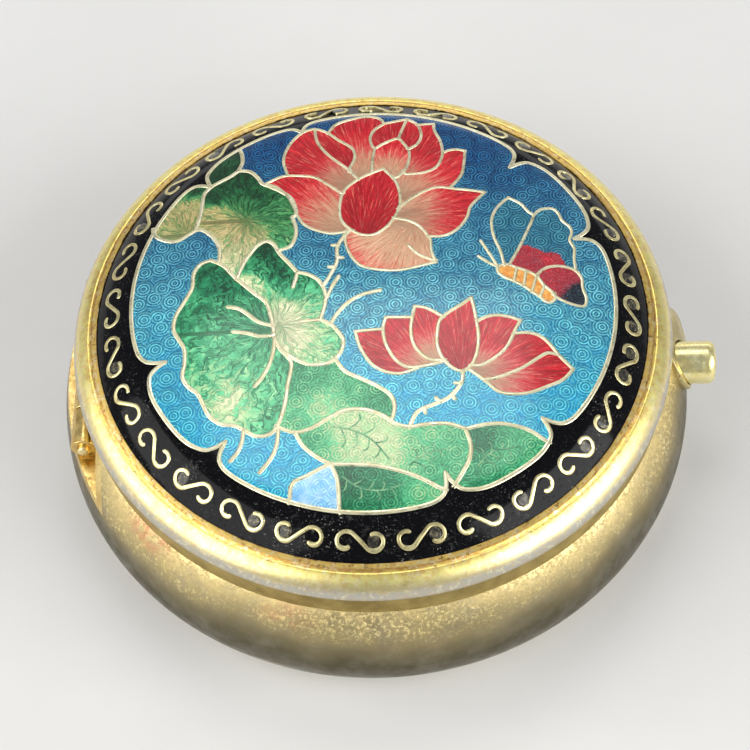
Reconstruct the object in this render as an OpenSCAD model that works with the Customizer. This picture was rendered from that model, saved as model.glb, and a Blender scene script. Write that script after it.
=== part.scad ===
// Round pill box: a pressed brass base with a three-well tray, and a hinged
// lid with a domed enamel plate, held shut by a push button and a flat spring.
// Origin: middle of the flat underside. +Z up, +X towards the push button.

/* [Base] */
// Radius of the base at its widest line
bulge_r = 25; // [24.8:0.1:25.3]
// Height of the widest line above the table
bulge_z = 5; // [4.8:0.1:5.2]
// How far the wall curves in from the widest line to the flat underside
curve_in = 4.5; // [4.4:0.05:4.6]
// Height of the base's mouth, where the lid's skirt begins
mouth_z = 10.6; // [10.5:0.05:10.65]
// Thickness of the pressed brass sheet
wall = 0.6; // [0.55:0.01:0.65]

/* [Lid] */
// Outer radius of the skirt
skirt_r = 23; // [22.95:0.01:23.1]
// Radius of the bead, the widest line of the lid
bead_r = 23.3; // [23.25:0.01:23.4]
// Radius of the visible enamel
enamel_r = 21.3; // [21.2:0.05:21.35]
// Height of the dome's crown
crown_z = 18.1; // [18:0.05:18.2]
// Number of scroll wires in the border
scrolls = 28; // [26:1:29]

/* [Button] */
// Radius of the button's head
button_r = 1.72; // [1.6:0.01:1.74]
// Height of the button's axis
button_z = 8.6; // [8.5:0.05:8.65]
// How far out the button's end stands, from the middle of the box
button_end = 27; // [26.6:0.1:27.4]

/* [Hinge] */
// Distance of the pin from the middle of the box
pin_x = 22.55; // [22.5:0.01:22.6]
// Height of the pin
pin_z = 9.35; // [9.3:0.01:9.4]
// Radius of the pin
pin_r = 0.5; // [0.45:0.01:0.55]
// Outer radius of the knuckles
knuckle_r = 1.05; // [0.95:0.01:1.05]

/* [Tray] */
// Outer radius of the moulded tray
tray_r = 21.1; // [20.8:0.1:21.2]
// Height of the tray's rim above the table
tray_top = 11.8; // [11:0.1:11.9]
// Thickness of the tray's walls
tray_wall = 0.9; // [0.8:0.05:1.1]

/* [Hidden] */
$fn = 96;

// Base
flat_r = bulge_r - curve_in;        // centre radius of the wall's curves
shoulder_b = 6.6;                   // height of the shoulder's ellipse
lip_r = 21.9;                       // radius of the opening in the mouth
lip_h = 0.4;                        // height of the inturned lip
collar_wall = 0.5;
collar_low = 9.9;
collar_top = 12.2;
seat_face = 21.45;                  // face of the hinge pocket's wall, from the middle
seat_floor = 8.1;                   // top of the hinge pocket's floor
seat_sheet = 0.5;

// Dome of the enamelled plate: a shallow sphere, then a rounded edge
cap_r = 17.6;
cap_sag = 0.95;
cap_R = (cap_r * cap_r + cap_sag * cap_sag) / (2 * cap_sag);
cap_angle = asin(cap_r / cap_R);
edge_R = 5.5;
edge_cr = cap_r - edge_R * sin(cap_angle);
edge_cz = crown_z - cap_sag - edge_R * cos(cap_angle);
edge_turn = 76;                     // how far the rounded edge turns before it is cut
enamel_t = 0.5;
copper_t = 0.4;
counter_t = 0.2;

// Lid frame
bezel_a = 3.04;                     // half width of the bezel's ellipse
bezel_b = 2.02;                     // half height of the bezel's ellipse
bezel_z = 13.3;                     // height of the bead
skirt_low = mouth_z + 0.1;
skirt_in = 22.3;
ledge_r = 20.3;
ledge_low = 13.5;
ledge_t = 0.4;                      // thickness of the ledge that carries the plate

// Border and scrolls
cartouche_at = [0.15, 0.45];          // middle of the lobed outline
cartouche_turn = 34.5;              // direction of its first short lobe
cusp_r = 17.4;                      // where two lobes meet, from that middle
lobe_r = 18.6;                      // outermost point of every lobe, from that middle
wire_w = 0.32;
wire_proud = 0.04;
scroll_ring = 20.03;
scroll_start = -14.6;               // direction of the first scroll
scroll_big = 0.78;                  // radii of the two arcs of a curl
scroll_small = 0.62;
scroll_half = 1.105;                // distance from a scroll's middle to its large arcs
scroll_lean = acos(scroll_big / scroll_half);
wire_depth = 0.3;

// Latch
spring_x = 20.9;                    // inner face of the flat spring
spring_t = 0.3;
spring_w = 5;
nose_out = 22.05;
nose_low = 12.2;
nose_h = 0.5;
catch_in = 21.5;                    // inner edge of the lid's catch
catch_low = 11.3;
catch_h = 0.7;
block_in = 19.6;
block_top = 4;
rivet_z = 2.4;
rivet_y = 1.6;
rivet_r = 0.4;
stem_r = 0.9;
stem_tip = 0.5;                     // radius of the stem's end, riveted through the spring
head_in = 23.75;                    // inner end of the button's head
guide_x = 22.3;
guide_t = 0.4;
travel = 1;                         // how far the button goes in
plate_from = -2.1;                  // ends of the plate around the button
plate_to = 4.7;
plate_low = 6.5;
plate_high = 10.55;
plate_proud = 0.45;

// Hinge
leaf_half = 4.6;                    // half length of the lid's knuckle
knuckle_gap = 0.1;
knuckle_end = 7.9;
pin_end = 8.3;

// Tray
tray_front = 18.9;                  // flat of the tray behind the latch spring
tray_back = 20.7;                   // flat of the tray behind the hinge pocket
well_angles = [0, 120, 240];        // directions of the three wells
tray_floor = 0.9;
tray_step = 9.5;                    // height above which the tray is straight-sided

// Points along an elliptical arc
function arc(cx, cy, a, b, from, to, n = 12) =
    [for (i = [0:n]) let (t = from + (to - from) * i / n) [cx + a * cos(t), cy + b * sin(t)]];

// Outline of the base's wall, set in by d, up to height z
function wall_line(d, z) = concat(
    [[0, d]], arc(flat_r, bulge_z, curve_in - d, bulge_z - d, -90, 0), shoulder_line(d, z)
);

// Outline of the shoulder alone, from just above the widest line up to height z
function shoulder_line(d, z) =
    arc(flat_r, bulge_z, curve_in - d, shoulder_b - d, 5, asin((z - bulge_z) / (shoulder_b - d)));

// Outline of the dome's surface, set down by d along its normal, out past the plate's edge
function dome_line(d) = concat(
    [for (i = [0:10]) let (t = cap_angle * i / 10)
        [(cap_R - d) * sin(t), crown_z - cap_R + (cap_R - d) * cos(t)]],
    [for (i = [1:14]) let (t = cap_angle + (edge_turn - cap_angle) * i / 14)
        [edge_cr + (edge_R - d) * sin(t), edge_cz + (edge_R - d) * cos(t)]]
);

function reversed(points) = [for (i = [len(points) - 1:-1:0]) points[i]];

// Height and slope of the dome's surface over radius r, on its rounded edge
function edge_z(r) = edge_cz + sqrt(edge_R * edge_R - (r - edge_cr) * (r - edge_cr));
function edge_slope(r) = asin((r - edge_cr) / edge_R);

// The solid that the base's wall encloses, set in by d, between two heights
module base_envelope(d, low, high) {
    intersection() {
        rotate_extrude()
            polygon(concat(wall_line(d, mouth_z - d / 2), [[0, mouth_z - d / 2]]));
        translate([-30, -30, low]) cube([60, 60, high - low]);
    }
}

// One layer of the domed plate, between depths d0 and d1, out to radius r and down to the ledge
module dome_layer(d0, d1, r) {
    intersection() {
        rotate_extrude() polygon(concat(dome_line(d0), reversed(dome_line(d1))));
        translate([0, 0, ledge_low + ledge_t]) cylinder(r = r, h = 10);
    }
}

module base_shell() {
    color("darkkhaki") difference() {
        rotate_extrude() polygon(concat(
            wall_line(0, mouth_z),
            [[lip_r, mouth_z], [lip_r, mouth_z - lip_h]],
            reversed(wall_line(wall, mouth_z - lip_h))
        ));
        translate([-30, -15, seat_floor - seat_sheet])
            cube([30 - seat_face + seat_sheet, 30, 10]);
        button_bore();
    }
}

module base_collar() {
    color("goldenrod") difference() {
        translate([0, 0, collar_low]) difference() {
            cylinder(r = lip_r, h = collar_top - collar_low);
            translate([0, 0, -1]) cylinder(r = lip_r - collar_wall, h = 10);
        }
        translate([-30, -15, 0]) cube([30 - seat_face + seat_sheet, 30, 20]);
        translate([15, -spring_w / 2 - 0.3, catch_low - 0.4]) cube([10, spring_w + 0.6, 5]);
    }
}

module hinge_seat() {
    color("peru") intersection() {
        base_envelope(0, seat_floor - seat_sheet, mouth_z);
        union() {
            translate([-30, -15, seat_floor - seat_sheet])
                cube([30 - seat_face + seat_sheet, 30, seat_sheet]);
            translate([-seat_face, -15, seat_floor - seat_sheet]) cube([seat_sheet, 30, 5]);
        }
    }
}

// A cylinder along the hinge's axis between two places on it
module hinge_rod(r, from, to) {
    translate([-pin_x, from, pin_z]) rotate([-90, 0, 0]) cylinder(r = r, h = to - from, $fn = 48);
}

module hinge_base_leaf() {
    foot = pin_x + 0.45;
    color("goldenrod") difference() {
        union() {
            for (side = [0, 1]) mirror([0, side, 0]) {
                hinge_rod(knuckle_r, leaf_half + knuckle_gap, knuckle_end);
                translate([-foot, leaf_half + knuckle_gap, seat_floor])
                    cube([foot - seat_face, knuckle_end - leaf_half - knuckle_gap, pin_z - seat_floor]);
            }
            translate([-foot, -leaf_half - 1, seat_floor])
                cube([foot - seat_face, 2 * leaf_half + 2, 0.2]);
        }
        hinge_rod(pin_r, -10, 10);
    }
}

module hinge_pin() {
    color("khaki") hinge_rod(pin_r, -pin_end, pin_end);
}

module hinge_lid_leaf() {
    color("goldenrod") difference() {
        union() {
            hinge_rod(knuckle_r, -leaf_half, leaf_half);
            lid_leaf_plate();
        }
        hinge_rod(pin_r + 0.03, -10, 10);
    }
}

// The upright plate that joins the centre knuckle to the lid's skirt
module lid_leaf_plate() {
    translate([-skirt_in, -leaf_half, pin_z]) cube([0.35, 2 * leaf_half, 3.05]);
}

// The button's hole through the wall and the plate
module button_bore() {
    cross_rod(button_r + 0.06, 20, 28);
}

module button_plate() {
    end_r = (plate_high - plate_low) / 2;
    color("darkkhaki") difference() {
        intersection() {
            rotate_extrude() polygon(concat(
                shoulder_line(-plate_proud, mouth_z - 0.05), reversed(shoulder_line(0, mouth_z))
            ));
            union() {
                translate([20, plate_from + end_r, plate_low])
                    cube([8, plate_to - plate_from - 2 * end_r, 2 * end_r]);
                for (y = [plate_from + end_r, plate_to - end_r])
                    translate([20, y, plate_low + end_r]) rotate([0, 90, 0])
                        cylinder(r = end_r, h = 8, $fn = 64);
            }
        }
        button_bore();
    }
}

module button_guide() {
    color("goldenrod") difference() {
        intersection() {
            base_envelope(wall, 6.5, 9.4);
            translate([guide_x, -12, 0]) cube([guide_t, 24, 20]);
        }
        cross_rod(stem_r + 0.05, 20, 28);
    }
}

module latch_block() {
    color("goldenrod") difference() {
        intersection() {
            base_envelope(wall, 0, block_top);
            translate([block_in, -spring_w / 2, 0]) cube([spring_x - block_in, spring_w, 20]);
        }
        rivet_holes();
    }
}

// A cylinder along the button's axis, or along one parallel to it
module cross_rod(r, from, to, y = 0, z = button_z) {
    translate([from, y, z]) rotate([0, 90, 0]) cylinder(r = r, h = to - from, $fn = 48);
}

module rivet_holes() {
    for (y = [-rivet_y, rivet_y]) cross_rod(rivet_r, block_in - 1, spring_x + 1, y, rivet_z);
}

module latch_spring() {
    foot = 1.2;
    reach = nose_out - spring_x;
    top = nose_low + nose_h;
    color("silver") difference() {
        translate([spring_x, spring_w / 2, 0]) rotate([90, 0, 0]) linear_extrude(height = spring_w)
            polygon([[0, foot], [spring_t, foot], [spring_t, nose_low], [reach, nose_low],
                     [reach, nose_low + 0.15], [spring_t, top], [0, top]]);
        rivet_holes();
        cross_rod(stem_tip, spring_x - 1, spring_x + 1);
    }
}

module latch_rivets() {
    face = spring_x + spring_t;
    color("gray") for (y = [-rivet_y, rivet_y]) {
        cross_rod(rivet_r, block_in, face, y, rivet_z);
        translate([face, y, rivet_z]) rotate([0, 90, 0]) cylinder(r1 = 0.75, r2 = 0.5, h = 0.3, $fn = 32);
    }
}

module pill_tray() {
    color("ivory") difference() {
        union() {
            intersection() {
                base_envelope(wall, 0, tray_step);
                tray_round(0, 0, tray_step);
            }
            tray_round(0, tray_step, tray_top);
        }
        tray_wells();
    }
}

// The tray's plan, set in by d, between two heights
module tray_round(d, low, high) {
    translate([0, 0, low]) intersection() {
        cylinder(r = tray_r - d, h = high - low);
        translate([-tray_back + d, -30, 0]) cube([tray_back + tray_front - 2 * d, 60, 30]);
    }
}

// Three wells, kept apart by walls that meet in the middle
module tray_wells() {
    half = tray_wall / 2;
    side = 60 * tan(60);
    for (turn = well_angles) intersection() {
        tray_round(tray_wall, wall + tray_floor, 20);
        rotate([0, 0, turn]) translate([half / sin(60), 0, 0]) linear_extrude(height = 20)
            polygon([[0, 0], [60, -side], [60, side]]);
    }
}

module push_button() {
    color("khaki") translate([0, 0, button_z]) rotate([0, 90, 0]) difference() {
        rotate_extrude($fn = 64) polygon([
            [0, head_in], [button_r, head_in], [button_r, button_end - 0.35],
            [button_r - 0.15, button_end - 0.1], [button_r - 0.45, button_end], [0, button_end]
        ]);
        translate([0, 0, head_in - 1]) cylinder(r = stem_r, h = 2, $fn = 48);
    }
}

module button_stem() {
    face = spring_x + spring_t;
    color("gray") union() {
        cross_rod(stem_r, face, head_in + 1);
        cross_rod(stem_tip, spring_x, face);
        translate([spring_x - 0.3, 0, button_z]) rotate([0, 90, 0]) cylinder(r1 = 0.6, r2 = 0.85, h = 0.3);
    }
}

module lid_frame() {
    color("gold") difference() {
        rotate_extrude($fn = 128) polygon(concat(
            [[skirt_in, skirt_low], [skirt_r, skirt_low], [skirt_r, bezel_z - 0.5]],
            arc(skirt_r, bezel_z, bead_r - skirt_r, 0.5, -80, -10, 5),
            arc(bead_r - bezel_a, bezel_z, bezel_a, bezel_b, 0, 70, 16),
            [[enamel_r, ledge_low + ledge_t], [ledge_r, ledge_low + ledge_t], [ledge_r, ledge_low],
             [skirt_in, ledge_low]]
        ));
        lid_leaf_plate();
    }
}

module lid_catch() {
    color("goldenrod") intersection() {
        translate([catch_in, -spring_w / 2, catch_low]) cube([2, spring_w, catch_h]);
        translate([0, 0, catch_low - 1]) cylinder(r = skirt_in, h = 3, $fn = 720);
    }
}

module enamel_plate() {
    color("sienna") dome_layer(enamel_t, enamel_t + copper_t, enamel_r);
}

module counter_enamel() {
    color("midnightblue") dome_layer(enamel_t + copper_t, enamel_t + copper_t + counter_t, 19.8);
}

// Distance of a lobe's centre from the middle, for a lobe that spans 2 * half degrees
function lobe_centre(half) =
    (lobe_r * lobe_r - cusp_r * cusp_r) / (2 * (lobe_r - cusp_r * cos(half)));

// The lobed outline inside which the picture lies, set in by d
module cartouche(d) {
    translate(cartouche_at) for (i = [0:3]) rotate([0, 0, cartouche_turn + 90 * i]) {
        translate([lobe_centre(15), 0, 0]) cylinder(r = lobe_r - lobe_centre(15) - d, h = 30);
        rotate([0, 0, 45]) translate([lobe_centre(30), 0, 0])
            cylinder(r = lobe_r - lobe_centre(30) - d, h = 30);
    }
}

module enamel_border() {
    color("black") difference() {
        dome_layer(0, enamel_t, enamel_r);
        cartouche(0);
    }
}

module enamel_field() {
    color("steelblue") intersection() {
        dome_layer(0, enamel_t, enamel_r);
        cartouche(wire_w);
    }
}

module cartouche_wire() {
    color("khaki") difference() {
        intersection() {
            dome_layer(-wire_proud, enamel_t, enamel_r);
            cartouche(0);
        }
        cartouche(wire_w);
    }
}

// A flat wire bent to part of a circle, on the ground plane
module wire_arc(r, from, to) {
    rotate([0, 0, from]) rotate_extrude(angle = to - from, $fn = 48)
        translate([r - wire_w / 2, -wire_depth]) square([wire_w, wire_depth + wire_proud]);
}

// Half of one scroll: a large arc that tightens into an open curl
module half_scroll() {
    translate([-scroll_half, 0, 0]) wire_arc(scroll_big, scroll_lean, 180);
    translate([scroll_small - scroll_half - scroll_big, 0, 0]) wire_arc(scroll_small, 180, 300);
}

module scroll_wires() {
    reach = scroll_big * tan(scroll_lean);
    color("khaki") for (i = [0:scrolls - 1]) rotate([0, 0, scroll_start - 360 / scrolls * i])
        translate([scroll_ring, 0, edge_z(scroll_ring)]) rotate([0, edge_slope(scroll_ring), 0])
            rotate([0, 0, 90]) mirror([i % 2, 0, 0]) {
                half_scroll();
                rotate([0, 0, 180]) half_scroll();
                rotate([0, 0, scroll_lean - 90]) translate([-reach, -wire_w / 2, -wire_depth])
                    cube([2 * reach, wire_w, wire_depth + wire_proud]);
            }
}

module backing_card() {
    color("tan") translate([0, 0, ledge_low - 0.3]) cylinder(r = skirt_in - 0.4, h = 0.3);
}

module lid_mirror() {
    color("lightblue") translate([0, 0, ledge_low - 1]) cylinder(r = 18, h = 0.7);
}

module mirror_ring() {
    color("gold") rotate_extrude() polygon([
        [18, ledge_low - 0.3], [18, ledge_low - 1], [17.5, ledge_low - 1],
        [17.5, ledge_low - 1.2], [19, ledge_low - 1.2], [19.4, ledge_low - 0.9],
        [19.4, ledge_low - 0.3]
    ]);
}

base_shell();
base_collar();
hinge_seat();
hinge_base_leaf();
hinge_pin();
button_plate();
button_guide();
latch_block();
latch_spring();
latch_rivets();
pill_tray();
push_button();
button_stem();
lid_frame();
hinge_lid_leaf();
lid_catch();
enamel_plate();
counter_enamel();
enamel_border();
enamel_field();
cartouche_wire();
scroll_wires();
backing_card();
lid_mirror();
mirror_ring();
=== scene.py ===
"""Looks of the pill box: worn brass, the enamel picture on its lid, and what is inside.

Outlines and the picture are given in millimetres, in the part's own frame: X towards the
push button, Z up, from the middle of the underside. Pieces are made in metres.
"""

import math

import bmesh
import bpy
import numpy as np
from mathutils import Matrix, Vector, geometry


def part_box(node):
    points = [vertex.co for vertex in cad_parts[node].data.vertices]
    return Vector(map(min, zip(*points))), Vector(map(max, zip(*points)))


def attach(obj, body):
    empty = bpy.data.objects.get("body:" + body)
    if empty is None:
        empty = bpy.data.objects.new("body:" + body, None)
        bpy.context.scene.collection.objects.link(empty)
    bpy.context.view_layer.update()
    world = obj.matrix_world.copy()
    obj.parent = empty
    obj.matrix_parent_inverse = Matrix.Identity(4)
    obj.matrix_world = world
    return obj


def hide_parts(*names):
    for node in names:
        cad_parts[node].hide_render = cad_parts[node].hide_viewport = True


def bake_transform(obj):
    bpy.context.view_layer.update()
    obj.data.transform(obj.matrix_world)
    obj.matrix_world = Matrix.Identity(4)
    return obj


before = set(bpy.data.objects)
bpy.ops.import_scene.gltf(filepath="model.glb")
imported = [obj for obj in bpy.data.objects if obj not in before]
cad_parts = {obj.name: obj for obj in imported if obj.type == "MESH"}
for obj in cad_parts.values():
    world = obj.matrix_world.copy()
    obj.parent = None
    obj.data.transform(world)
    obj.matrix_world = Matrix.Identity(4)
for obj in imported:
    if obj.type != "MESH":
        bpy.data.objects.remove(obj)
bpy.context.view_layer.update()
MM = 0.001


# ---------------------------------------------------------------- sizes from the frame

def mm_box(node):
    """Lowest and highest corner of a CAD node, in millimetres."""
    low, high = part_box(node)
    return np.array(low) / MM, np.array(high) / MM


SHELL_HIGH = mm_box("base_shell")[1]
RIM_LOW, RIM_HIGH = mm_box("lid_frame")
BUTTON_LOW, BUTTON_HIGH = mm_box("push_button")
PLATE_LOW, PLATE_HIGH = mm_box("button_plate")
PIN_LOW, PIN_HIGH = mm_box("hinge_pin")
BASE_LEAF_LOW, BASE_LEAF_HIGH = mm_box("hinge_base_leaf")
LID_LEAF_LOW, LID_LEAF_HIGH = mm_box("hinge_lid_leaf")
SPRING_LOW, SPRING_HIGH = mm_box("latch_spring")
SEAT_LOW = mm_box("hinge_seat")[0]

BULGE_R = SHELL_HIGH[1]             # the widest line of the base
MOUTH_Z = SHELL_HIGH[2]
BEAD_R = RIM_HIGH[1]                # the widest line of the lid
SKIRT_LOW = RIM_LOW[2]
ENAMEL_R = mm_box("enamel_border")[1][1]
CROWN_Z = mm_box("enamel_field")[1][2]
BUTTON_R = (BUTTON_HIGH[1] - BUTTON_LOW[1]) / 2
BUTTON_Z = (BUTTON_HIGH[2] + BUTTON_LOW[2]) / 2
PIN_AT = (PIN_LOW + PIN_HIGH) / 2
PIN_R = (PIN_HIGH[2] - PIN_LOW[2]) / 2

# The base's wall: two elliptical arcs round the same centre
BULGE_Z = 5                         # height of the centre, and of the lower arc
CURVE_IN = 4.5                      # how far both arcs reach out from the centre
SHOULDER_B = 6.6                    # height of the upper arc
FLAT_R = BULGE_R - CURVE_IN         # radius of the flat underside
WALL = 0.6                          # thickness of the sheet
BORE_R = BUTTON_R + 0.06            # the hole that the button slides in

# The dome: a shallow sphere, then a rounded edge
CAP_R, CAP_SAG, EDGE_R = 17.6, 0.95, 5.5    # the sphere's rim and its fall, the edge's radius
SPHERE_R = (CAP_R ** 2 + CAP_SAG ** 2) / (2 * CAP_SAG)
CAP_SLOPE = math.asin(CAP_R / SPHERE_R)
EDGE_CR = CAP_R - EDGE_R * math.sin(CAP_SLOPE)
EDGE_CZ = CROWN_Z - CAP_SAG - EDGE_R * math.cos(CAP_SLOPE)
ENAMEL_T = 0.45                     # thickness of the glass

# The cartouche and the scrolls round it
CARTOUCHE_AT = np.array([0.15, 0.45])
CARTOUCHE_TURN = 34.5               # direction of the first short lobe
SHORT_LOBE, LONG_LOBE = 15, 30      # half angles of the two kinds of lobe
LOBE_R = 18.62
# a lobe's line near a cusp: degrees off the cusp, and the share of the way out to LOBE_R
CUSP = [(0, 0), (0.9, 0.4), (2.2, 0.7), (5, 0.89)]
# each cusp's radius, round from the near side of the first short lobe
CUSP_TIPS = [16.6, 16.6, 17.5, 17.0, 16.6, 16.6, 16.4, 16.7]
SCROLLS = 28
SCROLL_RING = 20.03                 # radius of the ring that the scrolls' middles lie on
SCROLL_START = -14.6                # direction of the first scroll
SCROLL_BIG, SCROLL_SMALL = 0.70, 0.56   # radii of a curl's outer and inner turn
SCROLL_HALF = 0.99                  # from a scroll's middle to its curl's centre
SPOT_R = 0.44                       # radius of the cloudy spot in a curl
WIRE_W, FINE_WIRE_W, LOTUS_WIRE_W, SCROLL_WIRE_W, SPRIG_W = 0.34, 0.27, 0.30, 0.29, 0.13
WIRE_PROUD, SPRIG_PROUD = 0.04, 0.022   # how far they stand out of the glass


def on_dome(points, lift=0.0):
    """The dome's surface over flat points, raised by lift along its own normal."""
    flat = np.asarray(points, float)
    r = np.hypot(flat[:, 0], flat[:, 1])
    outward = flat / np.maximum(r, 1e-9)[:, None]
    cap = r <= CAP_R
    on_cap = np.arcsin(np.minimum(r, CAP_R) / SPHERE_R)
    on_edge = np.arcsin(np.clip((r - EDGE_CR) / EDGE_R, 0, 0.98))
    slope = np.where(cap, on_cap, on_edge)
    cap_z = CROWN_Z - SPHERE_R + SPHERE_R * np.cos(slope)
    z = np.where(cap, cap_z, EDGE_CZ + EDGE_R * np.cos(slope))
    across = (r + lift * np.sin(slope))[:, None] * outward
    return np.column_stack([across, z + lift * np.cos(slope)])


# ---------------------------------------------------------------- curves and meshes

SHARP = 35          # degrees between two faces from which their edge stays crisp
CURVE_STEP = 0.2    # about how far apart a curve's points are


def spline(points):
    """A centripetal curve through given points, as points about a step apart."""
    p = np.array(points, float)
    if len(p) == 2:
        p = np.array([p[0], (p[0] + p[1]) / 2, p[1]])
    q = np.vstack([2 * p[0] - p[1], p, 2 * p[-1] - p[-2]])
    out = []
    for a, b, c, d in zip(q, q[1:], q[2:], q[3:]):
        t1 = np.linalg.norm(b - a) ** 0.5
        t2 = t1 + np.linalg.norm(c - b) ** 0.5
        t3 = t2 + np.linalg.norm(d - c) ** 0.5
        count = max(2, round(np.linalg.norm(c - b) / CURVE_STEP))
        for t in np.linspace(t1, t2, count, endpoint=False):
            ab = (t1 - t) / t1 * a + t / t1 * b
            bc = (t2 - t) / (t2 - t1) * b + (t - t1) / (t2 - t1) * c
            cd = (t3 - t) / (t3 - t2) * c + (t - t2) / (t3 - t2) * d
            abc = (t2 - t) / t2 * ab + t / t2 * bc
            bcd = (t3 - t) / (t3 - t1) * bc + (t - t1) / (t3 - t1) * cd
            out.append((t2 - t) / (t2 - t1) * abc + (t - t1) / (t2 - t1) * bcd)
    return np.array(out + [p[-1]])


def arc(centre, a, b, start, end, count):
    """Points on an elliptical arc, between two angles in degrees."""
    t = np.radians(np.linspace(start, end, count))
    return np.column_stack([centre[0] + a * np.cos(t), centre[1] + b * np.sin(t)])


def left_of(heading):
    """A heading on the flat, turned a quarter turn to its left."""
    return np.array([-heading[1], heading[0]])


def eased(outline):
    """An outline of (x, y) or (x, y, ease) corners, with each eased corner rounded off."""
    out = []
    previous, following = outline[-1:] + outline[:-1], outline[1:] + outline[:1]
    for before, corner, after in zip(previous, outline, following):
        at = np.array(corner[:2], float)
        if len(corner) == 2:
            out.append(at)
            continue
        legs = [np.array(n[:2], float) - at for n in (before, after)]
        a, b = (at + leg / np.linalg.norm(leg) * corner[2] for leg in legs)
        for t in np.linspace(0, 1, 6):
            out.append((1 - t) ** 2 * a + 2 * t * (1 - t) * at + t ** 2 * b)
    return np.array(out)


def turned_out(data, weld=False):
    """Turns a mesh's faces outward, after making points that touch one."""
    work = bmesh.new()
    work.from_mesh(data)
    if weld:
        bmesh.ops.remove_doubles(work, verts=work.verts, dist=1e-7)
    bmesh.ops.recalc_face_normals(work, faces=work.faces)
    work.to_mesh(data)
    work.free()


def smoothed(data, sharp=SHARP):
    """A mesh, smooth but for edges sharper than an angle."""
    data.shade_smooth()
    data.set_sharp_from_angle(angle=math.radians(sharp))
    return data


class Shape:
    """Points in millimetres and faces that are gathered for one mesh."""

    def __init__(self):
        self.points = []
        self.faces = []

    def add(self, points, faces):
        start = sum(len(p) for p in self.points)
        self.points.append(np.asarray(points, float))
        self.faces += [[i + start for i in face] for face in faces]
        return self

    def loft(self, rings, closed=False):
        """Quads between neighbouring rings of equally many points, and a cap on either end."""
        rings = np.asarray(rings, float)
        rows, count = rings.shape[:2]
        faces = []
        for i in range(rows if closed else rows - 1):
            low, high = i * count, (i + 1) % rows * count
            for k in range(count):
                n = (k + 1) % count
                faces.append([low + k, low + n, high + n, high + k])
        if not closed:
            faces.append(list(range(count))[::-1])
            faces.append([(rows - 1) * count + k for k in range(count)])
        return self.add(rings.reshape(-1, 3), faces)

    def lathe(self, outline, segments=256, axis="z", at=(0, 0, 0)):
        """A closed outline of (radius, height) turned round an axis."""
        turn = np.linspace(0, 2 * math.pi, segments, endpoint=False)
        r, h = outline[:, 0], outline[:, 1]
        c, s = np.cos(turn)[:, None] * r, np.sin(turn)[:, None] * r
        h = np.broadcast_to(h, c.shape)
        rings = {"z": [c, s, h], "x": [h, c, s], "y": [s, h, c]}[axis]
        return self.loft(np.stack(rings, axis=-1) + np.array(at, float), closed=True)

    def block(self, low, high, ease):
        """A box with eased edges."""
        made = bmesh.new()
        bmesh.ops.create_cube(made, size=1)
        size, middle = np.subtract(high, low), np.add(high, low) / 2
        for v in made.verts:
            v.co = Vector(np.array(v.co) * size + middle)
        bmesh.ops.bevel(made, geom=made.edges, offset=ease, segments=3, profile=0.5,
                        affect="EDGES")
        made.verts.index_update()
        self.add([v.co for v in made.verts], [[v.index for v in f.verts] for f in made.faces])
        made.free()
        return self

    def raw(self, name):
        """The Blender mesh as it was gathered, in metres."""
        data = bpy.data.meshes.new(name)
        data.from_pydata((np.vstack(self.points) * MM).tolist(), [], self.faces)
        return data

    def mesh(self, name, sharp=SHARP):
        """The finished Blender mesh, with points that touch made one."""
        data = self.raw(name)
        turned_out(data, weld=True)
        return smoothed(data, sharp)


def placed(name, data):
    """An object in the scene that shows a mesh, or is a lamp or a camera."""
    made = bpy.data.objects.new(name, data)
    bpy.context.scene.collection.objects.link(made)
    return made


def piece(name, made_of, material, body, replaces=(), sharp=SHARP):
    """Puts a shape or a mesh on its body, and hides the CAD nodes that it stands for."""
    data = made_of.mesh(name, sharp) if isinstance(made_of, Shape) else made_of
    made = placed(name, data)
    data.materials.append(material)
    if body:
        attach(made, body)
    if replaces:
        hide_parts(*replaces)
    return made


def carved(data, *cutters):
    """A mesh with other meshes cut out of it."""
    target = placed("carving", data)
    helpers = [placed("cutter", cutter) for cutter in cutters]
    for helper in helpers:
        cut = target.modifiers.new("cut", "BOOLEAN")
        cut.object = helper
        cut.operation = "DIFFERENCE"
        cut.solver = "EXACT"
    now = bpy.context.evaluated_depsgraph_get()
    done = bpy.data.meshes.new_from_object(target.evaluated_get(now))
    for helper in helpers + [target]:
        bpy.data.objects.remove(helper)
    return smoothed(done)


# ---------------------------------------------------------------- materials

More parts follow.
